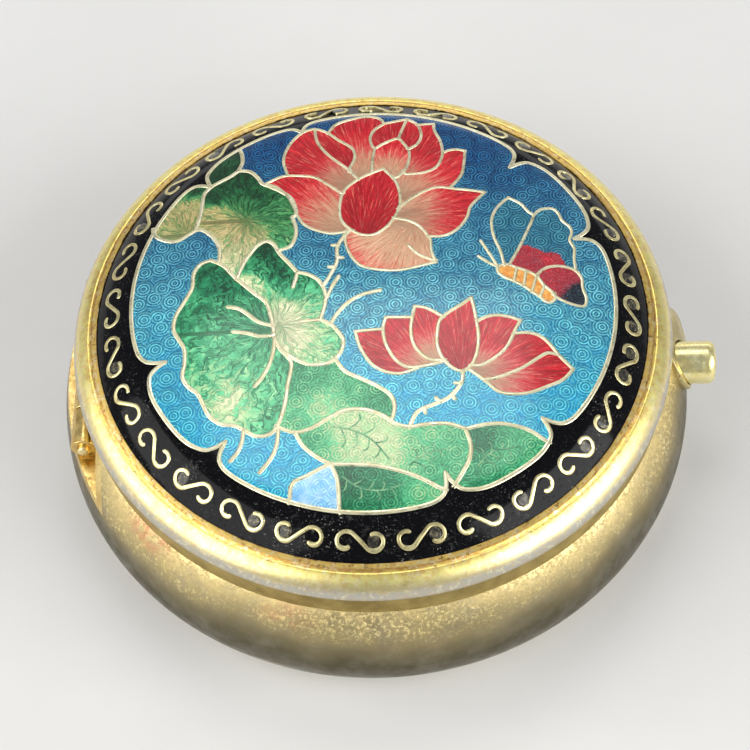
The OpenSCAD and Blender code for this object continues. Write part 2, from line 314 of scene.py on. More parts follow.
class Shade:
    """A material being wired. Each method adds nodes and gives back an output socket."""

    def __init__(self, name):
        self.material = bpy.data.materials.new(name)
        self.material.use_nodes = True
        self.tree = self.material.node_tree
        self.surface = self.tree.nodes["Principled BSDF"]

    def feed(self, socket, value):
        if isinstance(value, bpy.types.NodeSocket):
            self.tree.links.new(value, socket)
        elif hasattr(value, "__len__") and len(value) == 3 and socket.type == "RGBA":
            socket.default_value = (*value, 1)
        else:
            socket.default_value = value

    def add(self, kind, feeds, **settings):
        made = self.tree.nodes.new("ShaderNode" + kind)
        for setting, value in settings.items():
            setattr(made, setting, value)
        for socket, value in feeds.items():
            self.feed(made.inputs[socket], value)
        return made

    def place(self):
        """The point on the piece, in millimetres."""
        point = self.add("TexCoord", {}).outputs["Object"]
        return self.add("VectorMath", {0: point, "Scale": 1 / MM}, operation="SCALE").outputs[0]

    def attribute(self, name):
        return self.add("Attribute", {}, attribute_name=name).outputs["Vector"]

    def split(self, vector):
        return self.add("SeparateXYZ", {0: vector}).outputs

    def join(self, x, y, z=0.0):
        return self.add("CombineXYZ", {0: x, 1: y, 2: z}).outputs[0]

    def maths(self, operation, a, b=0.0, c=0.0):
        return self.add("Math", {0: a, 1: b, 2: c}, operation=operation).outputs[0]

    def times(self, a, b):
        return self.maths("MULTIPLY", a, b)

    def plus(self, a, b):
        return self.maths("ADD", a, b)

    def swayed(self, value, noise, amount):
        """A value that wanders with a noise round its middle, 0.5."""
        return self.maths("MULTIPLY_ADD", self.maths("SUBTRACT", noise, 0.5), amount, value)

    def vector(self, operation, a, b):
        return self.add("VectorMath", {0: a, 1: b}, operation=operation).outputs[0]

    def length(self, vector):
        return self.add("VectorMath", {0: vector}, operation="LENGTH").outputs["Value"]

    def span(self, value, low, high, to_low=0.0, to_high=1.0):
        """A smooth step from one value to another while the input crosses a span."""
        feeds = {0: value, 1: low, 2: high, 3: to_low, 4: to_high}
        return self.add("MapRange", feeds, interpolation_type="SMOOTHSTEP").outputs[0]

    def noise(self, scale, vector, detail=3.0, rough=0.5, distortion=0.0):
        feeds = {"Vector": vector, "Scale": scale, "Detail": detail, "Roughness": rough,
                 "Distortion": distortion}
        return self.add("TexNoise", feeds).outputs[0]

    def cells(self, scale, vector, randomness=1.0, dimensions="3D"):
        """Distance to the nearest of many scattered points."""
        feeds = {"Vector": vector, "Scale": scale, "Randomness": randomness}
        return self.add("TexVoronoi", feeds, voronoi_dimensions=dimensions).outputs["Distance"]

    def ramp(self, value, *stops):
        """A colour ramp with (position, colour) stops."""
        made = self.add("ValToRGB", {0: value})
        points = made.color_ramp.elements
        while len(points) < len(stops):
            points.new(0.5)
        for point, (position, colour) in zip(points, stops):
            point.position = position
            point.color = (*colour, 1)
        return made.outputs[0]

    def mix(self, share, a, b, blend="MIX"):
        made = self.add("Mix", {}, data_type="RGBA", blend_type=blend)
        self.feed(made.inputs[0], share)
        self.feed(made.inputs[6], a)
        self.feed(made.inputs[7], b)
        return made.outputs[2]

    def patched(self, colour, tint, pattern, low, high, share=1.0, blend="MIX"):
        """Lays a tint on a colour, up to a share, as a pattern crosses a span."""
        return self.mix(self.span(pattern, low, high, 0, share), colour, tint, blend)

    def bump(self, height, strength, distance):
        """A normal from a height, where distance is the relief in millimetres."""
        feeds = {"Height": height, "Strength": strength, "Distance": distance * MM}
        return self.add("Bump", feeds).outputs[0]

    def done(self, **feeds):
        """Sets the surface's sockets, named with _ for a space, and ends the material."""
        for socket, value in feeds.items():
            self.feed(self.surface.inputs[socket.replace("_", " ")], value)
        return self.material


def worn_metal(name, bright, dull, dirt, roughness, dirt_share, grain):
    """Plated brass: brighter where rubbed, dulled in patches, with dirt and fine scratches."""
    m = Shade(name)
    at = m.place()
    colour = m.patched(bright, dull, m.noise(0.35 * grain, at, 6, 0.62), 0.38, 0.62)
    colour = m.patched(colour, dirt, m.noise(2.2 * grain, at, 5, 0.7), 0.56, 0.68, dirt_share)
    scratches = m.noise(5, m.vector("MULTIPLY", at, (0.25, 3, 1.5)), 4, 0.7)
    rough = m.span(m.noise(1.1 * grain, at, 4, 0.6), 0.3, 0.7, roughness * 0.75, roughness * 1.6)
    return m.done(Base_Color=colour, Metallic=1.0, Roughness=rough,
                  Normal=m.bump(scratches, 0.25, 0.012))


# Where the base's plating has worn down to red copper, and how much of it
COPPER_PATCHES = [((-16.6, -15.9, 10.2), 0.9), ((-6.2, -22.4, 9.7), 0.4)]


def body_brass():
    """The base: grey-gold, dusty and yellower on the shoulder, painted shade round the bulge,
    paler at its foot.
    """
    m = Shade("body_brass")
    at = m.place()
    z = m.split(at)[2]
    broad = m.noise(0.16, at, 3, 0.5)
    # by height: pale at the foot, a band of painted shade round the bulge, gold at the shoulder
    colour = m.ramp(m.maths("DIVIDE", m.swayed(z, broad, 4), MOUTH_Z),
                    (0.0, (0.84, 0.79, 0.62)), (0.17, (0.66, 0.61, 0.46)),
                    (0.34, (0.15, 0.135, 0.09)), (0.54, (0.11, 0.095, 0.05)),
                    (0.70, (0.24, 0.20, 0.11)), (0.84, (0.46, 0.37, 0.18)),
                    (1.0, (0.72, 0.56, 0.25)))
    colour = m.patched(colour, (0.34, 0.31, 0.24), m.noise(0.5, at, 6, 0.65), 0.40, 0.75, 0.35)
    shoulder = m.span(m.swayed(z, broad, 6), 7.6, 9.8)
    dust = m.times(m.span(m.noise(3.4, at, 6, 0.8), 0.52, 0.60), shoulder)
    colour = m.mix(m.times(dust, 0.8), colour, (0.90, 0.74, 0.32))
    colour = m.patched(colour, (0.22, 0.18, 0.11), m.noise(3.1, at, 5, 0.7), 0.58, 0.70, 0.45)
    for spot, share in COPPER_PATCHES:
        gap = m.vector("MULTIPLY", m.vector("SUBTRACT", at, spot), (1, 1, 2.2))
        worn = m.times(m.span(m.length(gap), 0.5, 3.2, 1, 0),
                       m.span(m.noise(1.1, at, 5, 0.7), 0.38, 0.62, 0, share))
        colour = m.mix(worn, colour, (0.70, 0.30, 0.16))
    specks = m.times(m.span(m.noise(9, at, 2, 0.5), 0.71, 0.75), shoulder)
    colour = m.mix(specks, colour, (0.9, 0.85, 0.7))
    rough = m.plus(m.span(m.noise(0.8, at, 5, 0.6), 0.3, 0.7, 0.30, 0.52), m.times(dust, 0.25))
    relief = m.plus(dust, m.noise(9, at, 4, 0.7))
    metal = m.maths("SUBTRACT", 1.0, m.times(m.maths("MAXIMUM", dust, specks), 0.7))
    return m.done(Base_Color=colour, Metallic=metal, Roughness=rough,
                  Normal=m.bump(relief, 0.5, 0.04))


def rim_brass():
    """The lid's frame: gold round a dark groove, worn to silver at the bead, olive below."""
    m = Shade("rim_brass")
    at = m.place()
    x, y, z = m.split(at)
    wander = m.maths("SUBTRACT", m.noise(0.9, at, 5, 0.65), 0.5)
    reach = m.length(m.join(x, y))
    r = m.maths("MULTIPLY_ADD", wander, 0.5, reach)
    top = m.ramp(m.maths("MULTIPLY_ADD", r, 0.5, -10.6),
                 (0.04, (0.16, 0.08, 0.02)), (0.08, (0.96, 0.66, 0.17)), (0.22, (1.0, 0.74, 0.22)),
                 (0.29, (0.50, 0.24, 0.05)), (0.38, (1.0, 0.80, 0.22)), (0.66, (1.0, 0.90, 0.34)),
                 (0.90, (0.84, 0.72, 0.38)), (0.99, (0.56, 0.54, 0.46)))
    stains = m.span(m.noise(1.4, at, 6, 0.72), 0.46, 0.62, 0, 0.6)
    stains = m.times(stains, m.span(reach, 22.2, 23.0, 1, 0.35))
    top = m.mix(stains, top, (0.78, 0.44, 0.15))
    top = m.patched(top, (1.0, 0.90, 0.62), m.noise(2.1, at, 6, 0.75), 0.48, 0.38, 0.55)
    below = m.span(m.maths("MULTIPLY_ADD", wander, 0.6, z), 12.6, 13.3, 1, 0)
    skirt = m.ramp(m.noise(0.5, at, 5, 0.6), (0.35, (0.34, 0.26, 0.09)),
                   (0.65, (0.56, 0.45, 0.18)))
    colour = m.mix(below, top, skirt)
    grime = m.times(m.span(m.noise(2.6, at, 5, 0.75), 0.56, 0.66),
                    m.span(reach, 21.7, 22.4, 1.0, 0.15))
    colour = m.mix(grime, colour, (0.26, 0.13, 0.04))
    rough = m.plus(m.span(wander, -0.3, 0.3, 0.28, 0.42), m.times(below, 0.12))
    return m.done(Base_Color=colour, Metallic=1.0, Roughness=rough,
                  Normal=m.bump(m.noise(6, at, 5, 0.7), 0.3, 0.02))


EYE_PITCH, EYE_RING = 1.4, 0.235    # from eye to eye, and from ring to ring


def eyes(m, at):
    """Stamped rings, three to an eye, that run into one another. 0 low, 1 on a crest."""
    distance = m.times(m.cells(1 / EYE_PITCH, at, 0.62, "2D"), EYE_PITCH)
    wave = m.maths("COSINE", m.times(distance, 2 * math.pi / EYE_RING))
    crest = m.span(wave, -0.9, 0.7)
    crest = m.times(crest, m.span(m.noise(1.6, at, 3, 0.6), 0.3, 0.6, 0.55, 1))
    return m.times(crest, m.span(distance, 0.5, 0.85, 1, 0.4))


def glassy(m, colour, relief, depth, foil=0.45):
    """Clear glass over a stamped foil, whose relief (deep in mm) and colour show through."""
    return m.done(Base_Color=colour, Metallic=foil, Roughness=0.30, Specular_IOR_Level=0.1,
                  Coat_Weight=1.0, Coat_Roughness=0.12, Coat_IOR=1.42,
                  Normal=m.bump(relief, 1.0, depth))


def blue_enamel():
    """Turquoise near the front, dark blue at the back as painted light and shade, over stamped
    eyes.
    """
    m = Shade("blue_enamel")
    at = m.place()
    y = m.split(at)[1]
    relief = eyes(m, at)
    # painted light and shade: lighter towards the front, darker towards the back
    painted_shade_to_back = m.span(m.swayed(y, m.noise(0.3, at, 4, 0.6), 14), -17, 18)
    deep = m.ramp(painted_shade_to_back, (0.0, (0.010, 0.34, 0.68)), (0.45, (0.010, 0.18, 0.35)),
                  (1.0, (0.0004, 0.020, 0.11)))
    light = m.ramp(painted_shade_to_back, (0.0, (0.14, 0.90, 1.0)), (0.45, (0.26, 0.90, 1.0)),
                   (1.0, (0.005, 0.18, 0.46)))
    fine = m.span(m.noise(6, at, 4, 0.75), 0.35, 0.7, -0.15, 0.42)
    colour = m.mix(m.plus(m.times(relief, 0.85), fine), deep, light)
    return glassy(m, colour, relief, 0.32, 0.35)


def petal_enamel():
    """Crimson that pales to peach and cream towards a petal's foot, with engraved lines."""
    m = Shade("petal_enamel")
    across, along, tone = m.split(m.attribute("flow"))
    lines = m.noise(1, m.join(m.times(across, 5.5), m.times(along, 0.42)), 3, 0.55, 0.4)
    nicks = m.noise(1, m.join(m.times(across, 9), m.times(along, 0.8)), 3, 0.6, 0.6)
    mottled = m.noise(2.6, m.place(), 4, 0.65)
    reach = m.swayed(m.swayed(tone, lines, 0.8), mottled, 0.3)
    colour = m.ramp(reach, (0.08, (1.0, 0.59, 0.36)), (0.30, (1.0, 0.42, 0.27)),
                    (0.47, (1.0, 0.15, 0.13)), (0.62, (0.90, 0.026, 0.042)),
                    (0.90, (0.52, 0.006, 0.016)))
    colour = m.patched(colour, (1.0, 0.46, 0.30), nicks, 0.55, 0.68, 0.36)
    colour = m.patched(colour, (0.72, 0.32, 0.28), nicks, 0.46, 0.34, 0.75, "MULTIPLY")
    relief = m.plus(m.span(lines, 0.42, 0.60), m.span(nicks, 0.36, 0.64))
    return glassy(m, colour, relief, 0.10, 0.08)


def leaf_veins(m, at, across, along):
    """Raised blades and thin forked grooves, out from a leaf's foot."""
    bent = m.swayed(across, m.noise(0.9, at, 2, 0.5), 1.3)

    def grooves(across_scale, along_scale, width, floor):
        where = m.join(m.times(bent, across_scale), m.times(along, along_scale))
        apart = m.maths("ABSOLUTE", m.maths("SUBTRACT", m.noise(1, where, 3, 0.55, 0.25), 0.5))
        return m.span(apart, 0, width, floor, 1)

    blades = m.noise(1, m.join(m.times(bent, 2.3), m.times(along, 0.85)), 4, 0.6, 0.5)
    both = m.times(grooves(1.0, 0.22, 0.022, 0), grooves(2.4, 0.8, 0.03, 0.35))
    return m.times(m.span(blades, 0.30, 0.66, 0.45, 1), both)


def leaf_curls(m, at):
    """Stamped eyes, with softer curls between them."""
    curls = m.noise(3.4, at, 2, 0.5, 2.2)
    return m.plus(m.times(eyes(m, at), 0.55), m.times(m.span(curls, 0.42, 0.6), 0.35))


def leaf_enamel(name, stamped):
    """Green over a leaf's veins or over stamped curls, yellowish to dark emerald by its tone."""
    m = Shade(name)
    at = m.place()
    across, along, tone = m.split(m.attribute("flow"))
    relief = leaf_curls(m, at) if stamped else leaf_veins(m, at, across, along)
    depth = m.swayed(tone, m.noise(1.4, at, 5, 0.65), 0.35)
    depth = m.maths("MULTIPLY_ADD", m.maths("SUBTRACT", relief, 0.6), -0.42, depth)
    colour = m.ramp(depth, (0.0, (0.92, 0.92, 0.56)), (0.22, (0.55, 0.78, 0.38)),
                    (0.45, (0.13, 0.66, 0.30)), (0.70, (0.025, 0.28, 0.12)),
                    (1.0, (0.006, 0.075, 0.035)))
    # painted shade: the green darkens and warms towards the back
    colour = m.patched(colour, (0.74, 0.58, 0.42), m.split(at)[1], 1, 8, 1, "MULTIPLY")
    return glassy(m, colour, relief, 0.14)


def leaf_foil():
    """The raised sprigs: greenish foil seen through the glass."""
    m = Shade("leaf_foil")
    colour = m.ramp(m.noise(1.5, m.place(), 4, 0.6), (0.35, (0.03, 0.22, 0.10)),
                    (0.65, (0.30, 0.58, 0.30)))
    return m.done(Base_Color=colour, Metallic=0.4, Roughness=0.3, Coat_Weight=1.0,
                  Coat_Roughness=0.12)


def wing_enamel():
    """The butterfly: dark tip, red, then blue over stamped eyes, as the tone rises."""
    m = Shade("wing_enamel")
    tone = m.split(m.attribute("flow"))[2]
    at = m.place()
    ragged = m.swayed(tone, m.noise(2.2, at, 4, 0.7), 0.22)
    colour = m.ramp(ragged, (0.08, (0.012, 0.008, 0.02)), (0.20, (0.42, 0.02, 0.04)),
                    (0.46, (0.62, 0.02, 0.03)), (0.54, (0.012, 0.10, 0.19)),
                    (1.0, (0.006, 0.10, 0.19)))
    relief = eyes(m, at)
    crests = m.times(relief, m.span(ragged, 0.48, 0.56, 0.06, 0.6))
    colour = m.mix(crests, colour, (0.12, 0.56, 0.72))
    colour = m.patched(colour, (0.30, 0.60, 0.66), m.noise(6, at, 3, 0.8), 0.52, 0.66, 0.2)
    return glassy(m, colour, relief, 0.15)


def amber_enamel():
    """The butterfly's body: orange glass, cloudy."""
    m = Shade("amber_enamel")
    patches = m.noise(3, m.place(), 3, 0.6)
    colour = m.ramp(patches, (0.35, (0.72, 0.24, 0.04)), (0.65, (0.90, 0.48, 0.12)))
    return glassy(m, colour, patches, 0.03, 0.3)


def pale_enamel():
    """The light blue cell between the bottom leaves."""
    m = Shade("pale_enamel")
    at = m.place()
    colour = m.ramp(m.noise(0.8, at, 5, 0.65), (0.35, (0.16, 0.48, 0.86)),
                    (0.65, (0.46, 0.72, 0.93)))
    return glassy(m, colour, eyes(m, at), 0.04)


def black_enamel():
    """Black glass, pitted and specked with dust where the border is worn, with painted grey sheen
    at the front.
    """
    m = Shade("black_enamel")
    at = m.place()
    y = m.split(at)[1]
    # towards the front: wear that gathers dust specks, and a painted grey sheen standing in for
    # reflected light
    worn = m.times(m.span(m.noise(0.22, at, 3, 0.5), 0.42, 0.6), m.span(y, 2, -14))
    grey = m.times(m.span(m.noise(1.7, at, 6, 0.75), 0.54, 0.72), worn)
    pits = m.span(m.cells(2.4, at), 0.13, 0.20, 1, 0)
    crumbs = m.span(m.noise(5.5, at, 4, 0.78), 0.60, 0.68)
    specks = m.times(crumbs, m.span(m.noise(0.6, at, 2), 0.44, 0.58, 0.1, 0.85))
    colour = m.mix(m.times(grey, 0.25), (0.002, 0.002, 0.003), (0.20, 0.19, 0.18))
    colour = m.mix(m.times(specks, m.plus(worn, 0.25)), colour, (0.5, 0.48, 0.42))
    relief = m.plus(m.times(pits, -1), m.times(specks, 0.8))
    return m.done(Base_Color=colour, Metallic=0.0, Roughness=m.span(grey, 0, 1, 0.09, 0.4),
                  Specular_IOR_Level=0.14, Normal=m.bump(relief, 0.6, 0.04))


def smoky_enamel():
    """Cloudy glass, black with olive flecks, inside some of the scrolls' curls."""
    m = Shade("smoky_enamel")
    at = m.place()
    flecks = m.noise(2.6, at, 6, 0.8, 0.6)
    colour = m.ramp(flecks, (0.40, (0.003, 0.003, 0.004)), (0.52, (0.05, 0.045, 0.03)),
                    (0.66, (0.30, 0.26, 0.15)))
    return glassy(m, colour, flecks, 0.04, 0.1)


def soft_finish(name, colour, tint, roughness, relief, scale=1.5, **more):
    """A plain moulded, printed or glazed surface, with faint clouding and relief."""
    m = Shade(name)
    at = m.place()
    cloud = m.noise(scale, at, 5, 0.6)
    rough = m.span(cloud, 0.3, 0.7, roughness * 0.85, roughness * 1.15)
    return m.done(Base_Color=m.patched(colour, tint, cloud, 0.35, 0.65), Roughness=rough,
                  Normal=m.bump(m.noise(scale * 8, at, 3, 0.6), 0.3, relief), **more)


# Bright, dull and dirty colour, roughness, how much dirt, and how fine the patches are
METAL = {name: worn_metal(name, *look) for name, look in {
    "wire_brass": ((0.92, 0.86, 0.60), (0.78, 0.72, 0.46), (0.36, 0.30, 0.16), 0.32, 0.35, 2.0),
    "scroll_brass": ((0.86, 0.78, 0.42), (0.70, 0.60, 0.30), (0.28, 0.20, 0.08), 0.28, 0.45, 2.0),
    "button_brass": ((1.0, 0.91, 0.50), (0.95, 0.82, 0.36), (0.46, 0.34, 0.10), 0.24, 0.45, 2.0),
    "plate_brass": ((0.74, 0.62, 0.30), (0.50, 0.42, 0.20), (0.22, 0.15, 0.06), 0.30, 0.6, 1.5),
    "hinge_brass": ((0.88, 0.68, 0.28), (0.70, 0.48, 0.16), (0.26, 0.14, 0.05), 0.26, 0.6, 1.5),
    "pin_brass": ((0.98, 0.86, 0.50), (0.92, 0.74, 0.36), (0.50, 0.34, 0.14), 0.22, 0.3, 2.0),
    "inner_brass": ((0.80, 0.66, 0.36), (0.68, 0.53, 0.26), (0.36, 0.25, 0.12), 0.26, 0.35, 1.0),
    "spring_steel": ((0.62, 0.62, 0.61), (0.50, 0.50, 0.50), (0.30, 0.24, 0.18), 0.24, 0.3, 1.5),
    "copper_sheet": ((0.74, 0.42, 0.28), (0.60, 0.32, 0.20), (0.24, 0.12, 0.08), 0.32, 0.4, 1.0),
}.items()}
BODY_BRASS = body_brass()
RIM_BRASS = rim_brass()


# ---------------------------------------------------------------- the base

def wall_r(z):
    """Radius of the base's wall at a height, from the ellipse that it follows there."""
    b = SHOULDER_B if z > BULGE_Z else BULGE_Z
    return FLAT_R + CURVE_IN * math.sqrt(max(0.0, 1 - ((z - BULGE_Z) / b) ** 2))


def make_base():
    """The thin wall, open at its mouth, with the hinge's pocket and the button's bore."""
    lip_r, lip_h, pocket_face = 21.9, 0.4, -20.95
    turn = math.degrees(math.asin((MOUTH_Z - BULGE_Z) / SHOULDER_B))
    turn_in = math.degrees(math.asin((MOUTH_Z - lip_h - BULGE_Z) / (SHOULDER_B - WALL)))
    centre = (FLAT_R, BULGE_Z)
    outside = np.vstack([arc(centre, CURVE_IN, BULGE_Z, -90, 0, 24),
                         arc(centre, CURVE_IN, SHOULDER_B, 0, turn, 24)[1:]])
    inside = np.vstack([arc(centre, CURVE_IN - WALL, SHOULDER_B - WALL, turn_in, 0, 16),
                        arc(centre, CURVE_IN - WALL, BULGE_Z - WALL, 0, -90, 16)[1:]])
    corners = [(0, 0), *map(tuple, outside[:-1]), (*outside[-1], 0.14), (lip_r, MOUTH_Z, 0.12),
               (lip_r, MOUTH_Z - lip_h, 0.08), *map(tuple, inside), (0, WALL)]
    shell = Shape().lathe(eased(corners)).mesh("base_body")
    pocket = Shape().block((-30, -15, SEAT_LOW[2]), (pocket_face, 15, 20), 0.01).mesh("pocket")
    bore = Shape().lathe(np.array([(0, 20), (BORE_R, 20), (BORE_R, 28), (0, 28)]),
                         96, "x", (0, 0, BUTTON_Z)).mesh("bore")
    piece("base_body", carved(shell, pocket, bore), BODY_BRASS, "base",
          ["base_shell"])


def make_button_plate():
    """The stadium-shaped plate round the button, bent to the wall, with eased edges."""
    end_r = (PLATE_HIGH[2] - PLATE_LOW[2]) / 2
    middle_z = (PLATE_HIGH[2] + PLATE_LOW[2]) / 2
    near, far = PLATE_LOW[1] + end_r, PLATE_HIGH[1] - end_r
    proud = 0.45
    angles = np.linspace(0, 2 * math.pi, 128, endpoint=False)

    def outer(angle):
        """How far the plate's edge is from the button's axis, in one direction."""
        low, high = 0.0, 8.0
        for _ in range(30):
            reach = (low + high) / 2
            y, z = reach * math.cos(angle), BUTTON_Z - middle_z + reach * math.sin(angle)
            inside = math.hypot(y - min(max(y, near), far), z) < end_r
            low, high = (reach, high) if inside else (low, reach)
        return low

    edge = np.array([outer(a) for a in angles])
    # each step is a distance in from the edge or out from the bore, and a lift off the wall
    steps = [("edge", 0, -0.05), ("edge", 0, proud - 0.12), ("edge", 0.03, proud - 0.04),
             ("edge", 0.09, proud), ("bore", 0.06, proud), ("bore", 0, proud - 0.06),
             ("bore", 0, -0.05)]
    rings = []
    for angle, limit in zip(angles, edge):
        ring = []
        for side, off, lift in steps:
            reach = limit - off if side == "edge" else min(BORE_R + off, limit - 0.02)
            y, z = reach * math.cos(angle), BUTTON_Z + reach * math.sin(angle)
            t = math.asin((z - BULGE_Z) / SHOULDER_B)
            slope = np.array([math.cos(t) / CURVE_IN, math.sin(t) / SHOULDER_B])
            slope /= np.linalg.norm(slope)
            r = wall_r(z)
            if side == "bore":
                ring.append([math.sqrt((r + lift / slope[0]) ** 2 - y * y), y, z])
                continue
            out = np.array([math.sqrt(r * r - y * y), y]) / r
            ring.append([*(out * (r + lift * slope[0])), z + lift * slope[1]])
        rings.append(ring)
    piece("button_surround", Shape().loft(rings, closed=True), METAL["plate_brass"], "base",
          ["button_plate"])


def make_button():
    """The turned head, with two bevels at its tip."""
    tip, r = BUTTON_HIGH[0], BUTTON_R
    corners = [(0, BUTTON_LOW[0]), (r - 0.05, BUTTON_LOW[0]), (r, tip - 0.50, 0.2),
               (r - 0.16, tip - 0.16, 0.14), (r - 0.50, tip - 0.02, 0.2), (0, tip)]
    head = Shape().lathe(eased(corners), 128, "x", (0, 0, BUTTON_Z))
    piece("button_head", head, METAL["button_brass"], "button", ["push_button"],
          sharp=50)


def tube(shape, r_in, r_out, start, end):
    """A knuckle: a tube along the hinge's axis with eased rims."""
    corners = [(r_in, start, 0.06), (r_out, start, 0.1), (r_out, end, 0.1), (r_in, end, 0.06)]
    return shape.lathe(eased(corners), 64, "y", (PIN_AT[0], 0, PIN_AT[2]))


def make_hinge():
    """Two knuckles and a leaf on the base, one knuckle and a leaf on the lid, and the pin."""
    leaf_half, gap, knuckle_end = LID_LEAF_HIGH[1], 0.1, BASE_LEAF_HIGH[1]
    knuckle_r = PIN_AT[0] - LID_LEAF_LOW[0]
    back, face, floor = PIN_AT[0] - 0.45, BASE_LEAF_HIGH[0], BASE_LEAF_LOW[2]
    low = Shape()
    for side in (-1, 1):
        start, end = sorted((side * (leaf_half + gap), side * knuckle_end))
        tube(low, PIN_R + 0.01, knuckle_r, start, end)
        low.block((back, start, floor), (face, end, PIN_AT[2] - PIN_R - 0.1), 0.06)
    low.block((back, -leaf_half - 1, floor), (face, leaf_half + 1, floor + 0.2), 0.05)
    piece("base_knuckles", low, METAL["hinge_brass"], "base", ["hinge_base_leaf"])
    high = tube(Shape(), PIN_R + 0.03, knuckle_r, -leaf_half, leaf_half)
    high.block((LID_LEAF_HIGH[0] - 0.35, -leaf_half, PIN_AT[2] + 0.45),
               (LID_LEAF_HIGH[0], leaf_half, LID_LEAF_HIGH[2]), 0.05)
    piece("lid_knuckle", high, METAL["hinge_brass"], "lid", ["hinge_lid_leaf"])
    end = PIN_HIGH[1]
    corners = [(0, -end), (PIN_R, -end, 0.2), (PIN_R, end, 0.2), (0, end)]
    pin = Shape().lathe(eased(corners), 48, "y", (PIN_AT[0], 0, PIN_AT[2]))
    piece("pin_rod", pin, METAL["pin_brass"], "base", ["hinge_pin"], sharp=50)


# ---------------------------------------------------------------- the lid's frame

def make_rim():
    """The skirt, the bead and the rounded bezel, with the groove inside its crest."""
    skirt_r, skirt_in, ledge_r = 23.0, 22.3, 20.3
    bezel_a, bezel_b, bead_z = 3.04, 2.02, 13.3
    ledge_low, ledge_top = 13.5, 13.9
    bezel = arc((BEAD_R - bezel_a, bead_z), bezel_a, bezel_b, 0, 70, 90)
    groove = np.exp(-((bezel[:, 0] - 21.93) / 0.09) ** 2)
    bezel[:, 1] -= 0.07 * groove
    bead = arc((skirt_r, bead_z), BEAD_R - skirt_r, 0.5, -80, -10, 8)
    corners = [(skirt_in, SKIRT_LOW, 0.1), (skirt_r, SKIRT_LOW, 0.12), (skirt_r, bead_z - 0.6),
               *map(tuple, bead), *map(tuple, bezel[:-1]), (*bezel[-1], 0.08),
               (ENAMEL_R, ledge_top), (ledge_r, ledge_top, 0.06), (ledge_r, ledge_low, 0.06),
               (skirt_in, ledge_low)]
    piece("rim", Shape().lathe(eased(corners), 288), RIM_BRASS, "lid",
          ["lid_frame"])


# ---------------------------------------------------------------- the enamel picture

# Outlines and folds of the petals of the large lotus; each wire runs between two joints
LARGE_LOTUS = [
    [(0.9, 12.8), (1.9, 11.4), (2.25, 9.6), (2.0, 8.25), (1.25, 6.9), (0.1, 6.05), (-1, 6.2),
     (-2.25, 7.4), (-2.5, 8.75), (-2.2, 10.5), (-1.25, 11.6), (-0.25, 12.25), (0.9, 12.8)],
    [(-6.7, 12.3), (-7.1, 14), (-6.6, 15.75), (-5.6, 17), (-4.7, 17.3), (-3.75, 16.9),
     (-2.75, 16), (-1.6, 15), (-1.4, 14), (-1.75, 13), (-1.9, 12.5)],
    [(-4.7, 17.3), (-4.4, 15.75), (-3.6, 14.5), (-2.75, 13.6), (-2, 12.9), (-1.3, 12.0)],
    [(-8.45, 11.55), (-7.1, 12.25), (-5.75, 12.25), (-4.5, 12), (-3.5, 11.25), (-2.4, 10.3)],
    [(-8.45, 11.55), (-7.5, 11.1), (-6.6, 10.1), (-6.1, 9), (-5.75, 8), (-5.1, 7.1), (-4, 6.5),
     (-3, 6.25), (-1.6, 6.5)],
    [(-3.6, 16.8), (-3, 17.75), (-1.9, 18.3), (-0.9, 18.6), (0, 18.6), (0.6, 18.3), (0.9, 17.75)],
    [(0.9, 17.75), (0.1, 17), (-0.2, 16.1), (0, 15.25), (0.2, 15)],
    [(0.9, 17.75), (1.75, 18), (2.75, 18.3)],
    [(2.75, 18.3), (3.5, 17.75), (3.9, 16.5), (3.6, 15.5), (2.9, 14.9)],
    [(2.75, 18.3), (2.05, 16.05)],
    [(0.2, 15), (1, 15.6), (2.05, 16.05), (2.5, 15.5), (2.9, 14.75), (2.95, 14), (2.75, 13),
     (2.1, 12.0), (1.6, 11.8)],
    [(0.2, 15), (0.05, 14), (0.0, 13), (0.0, 12.4)],
    [(3.6, 17.6), (4.2, 17.7), (4.9, 17.75)],
    [(4.9, 17.75), (4.95, 17), (5.4, 15.9), (5.6, 14.75), (5.55, 14.1), (5.1, 13), (4.1, 12.4),
     (2.7, 12.2)],
    [(5.6, 14.5), (6, 14.75), (6.75, 14.9), (7.4, 14.75)],
    [(7.4, 14.75), (7.3, 13.5), (7.1, 12.25), (6.5, 11.25), (6.1, 10.8)],
    [(2.0, 8.6), (3.0, 9.6), (4.25, 10.5), (5.2, 10.85), (6.6, 10.7), (7.6, 10.6), (8.9, 10.4)],
    [(8.9, 10.4), (8.25, 9.6), (7.75, 8.9), (7.5, 7.9), (7, 7), (6.25, 6.25), (5.4, 5.9),
     (4.5, 5.9)],
    [(-1.9, 6.6), (-2, 5.4), (-1.5, 4), (-0.75, 3.1), (0.5, 2.7), (2, 2.6), (3.4, 2.9),
     (5.05, 3.4)],
    [(5.05, 3.4), (4.7, 4.4), (4.6, 5.6), (4.45, 5.9), (3.75, 6.9), (3, 7.4), (1.8, 7.7)],
    [(2.9, 5.0), (3.6, 4.2), (4.7, 3.6)],
]
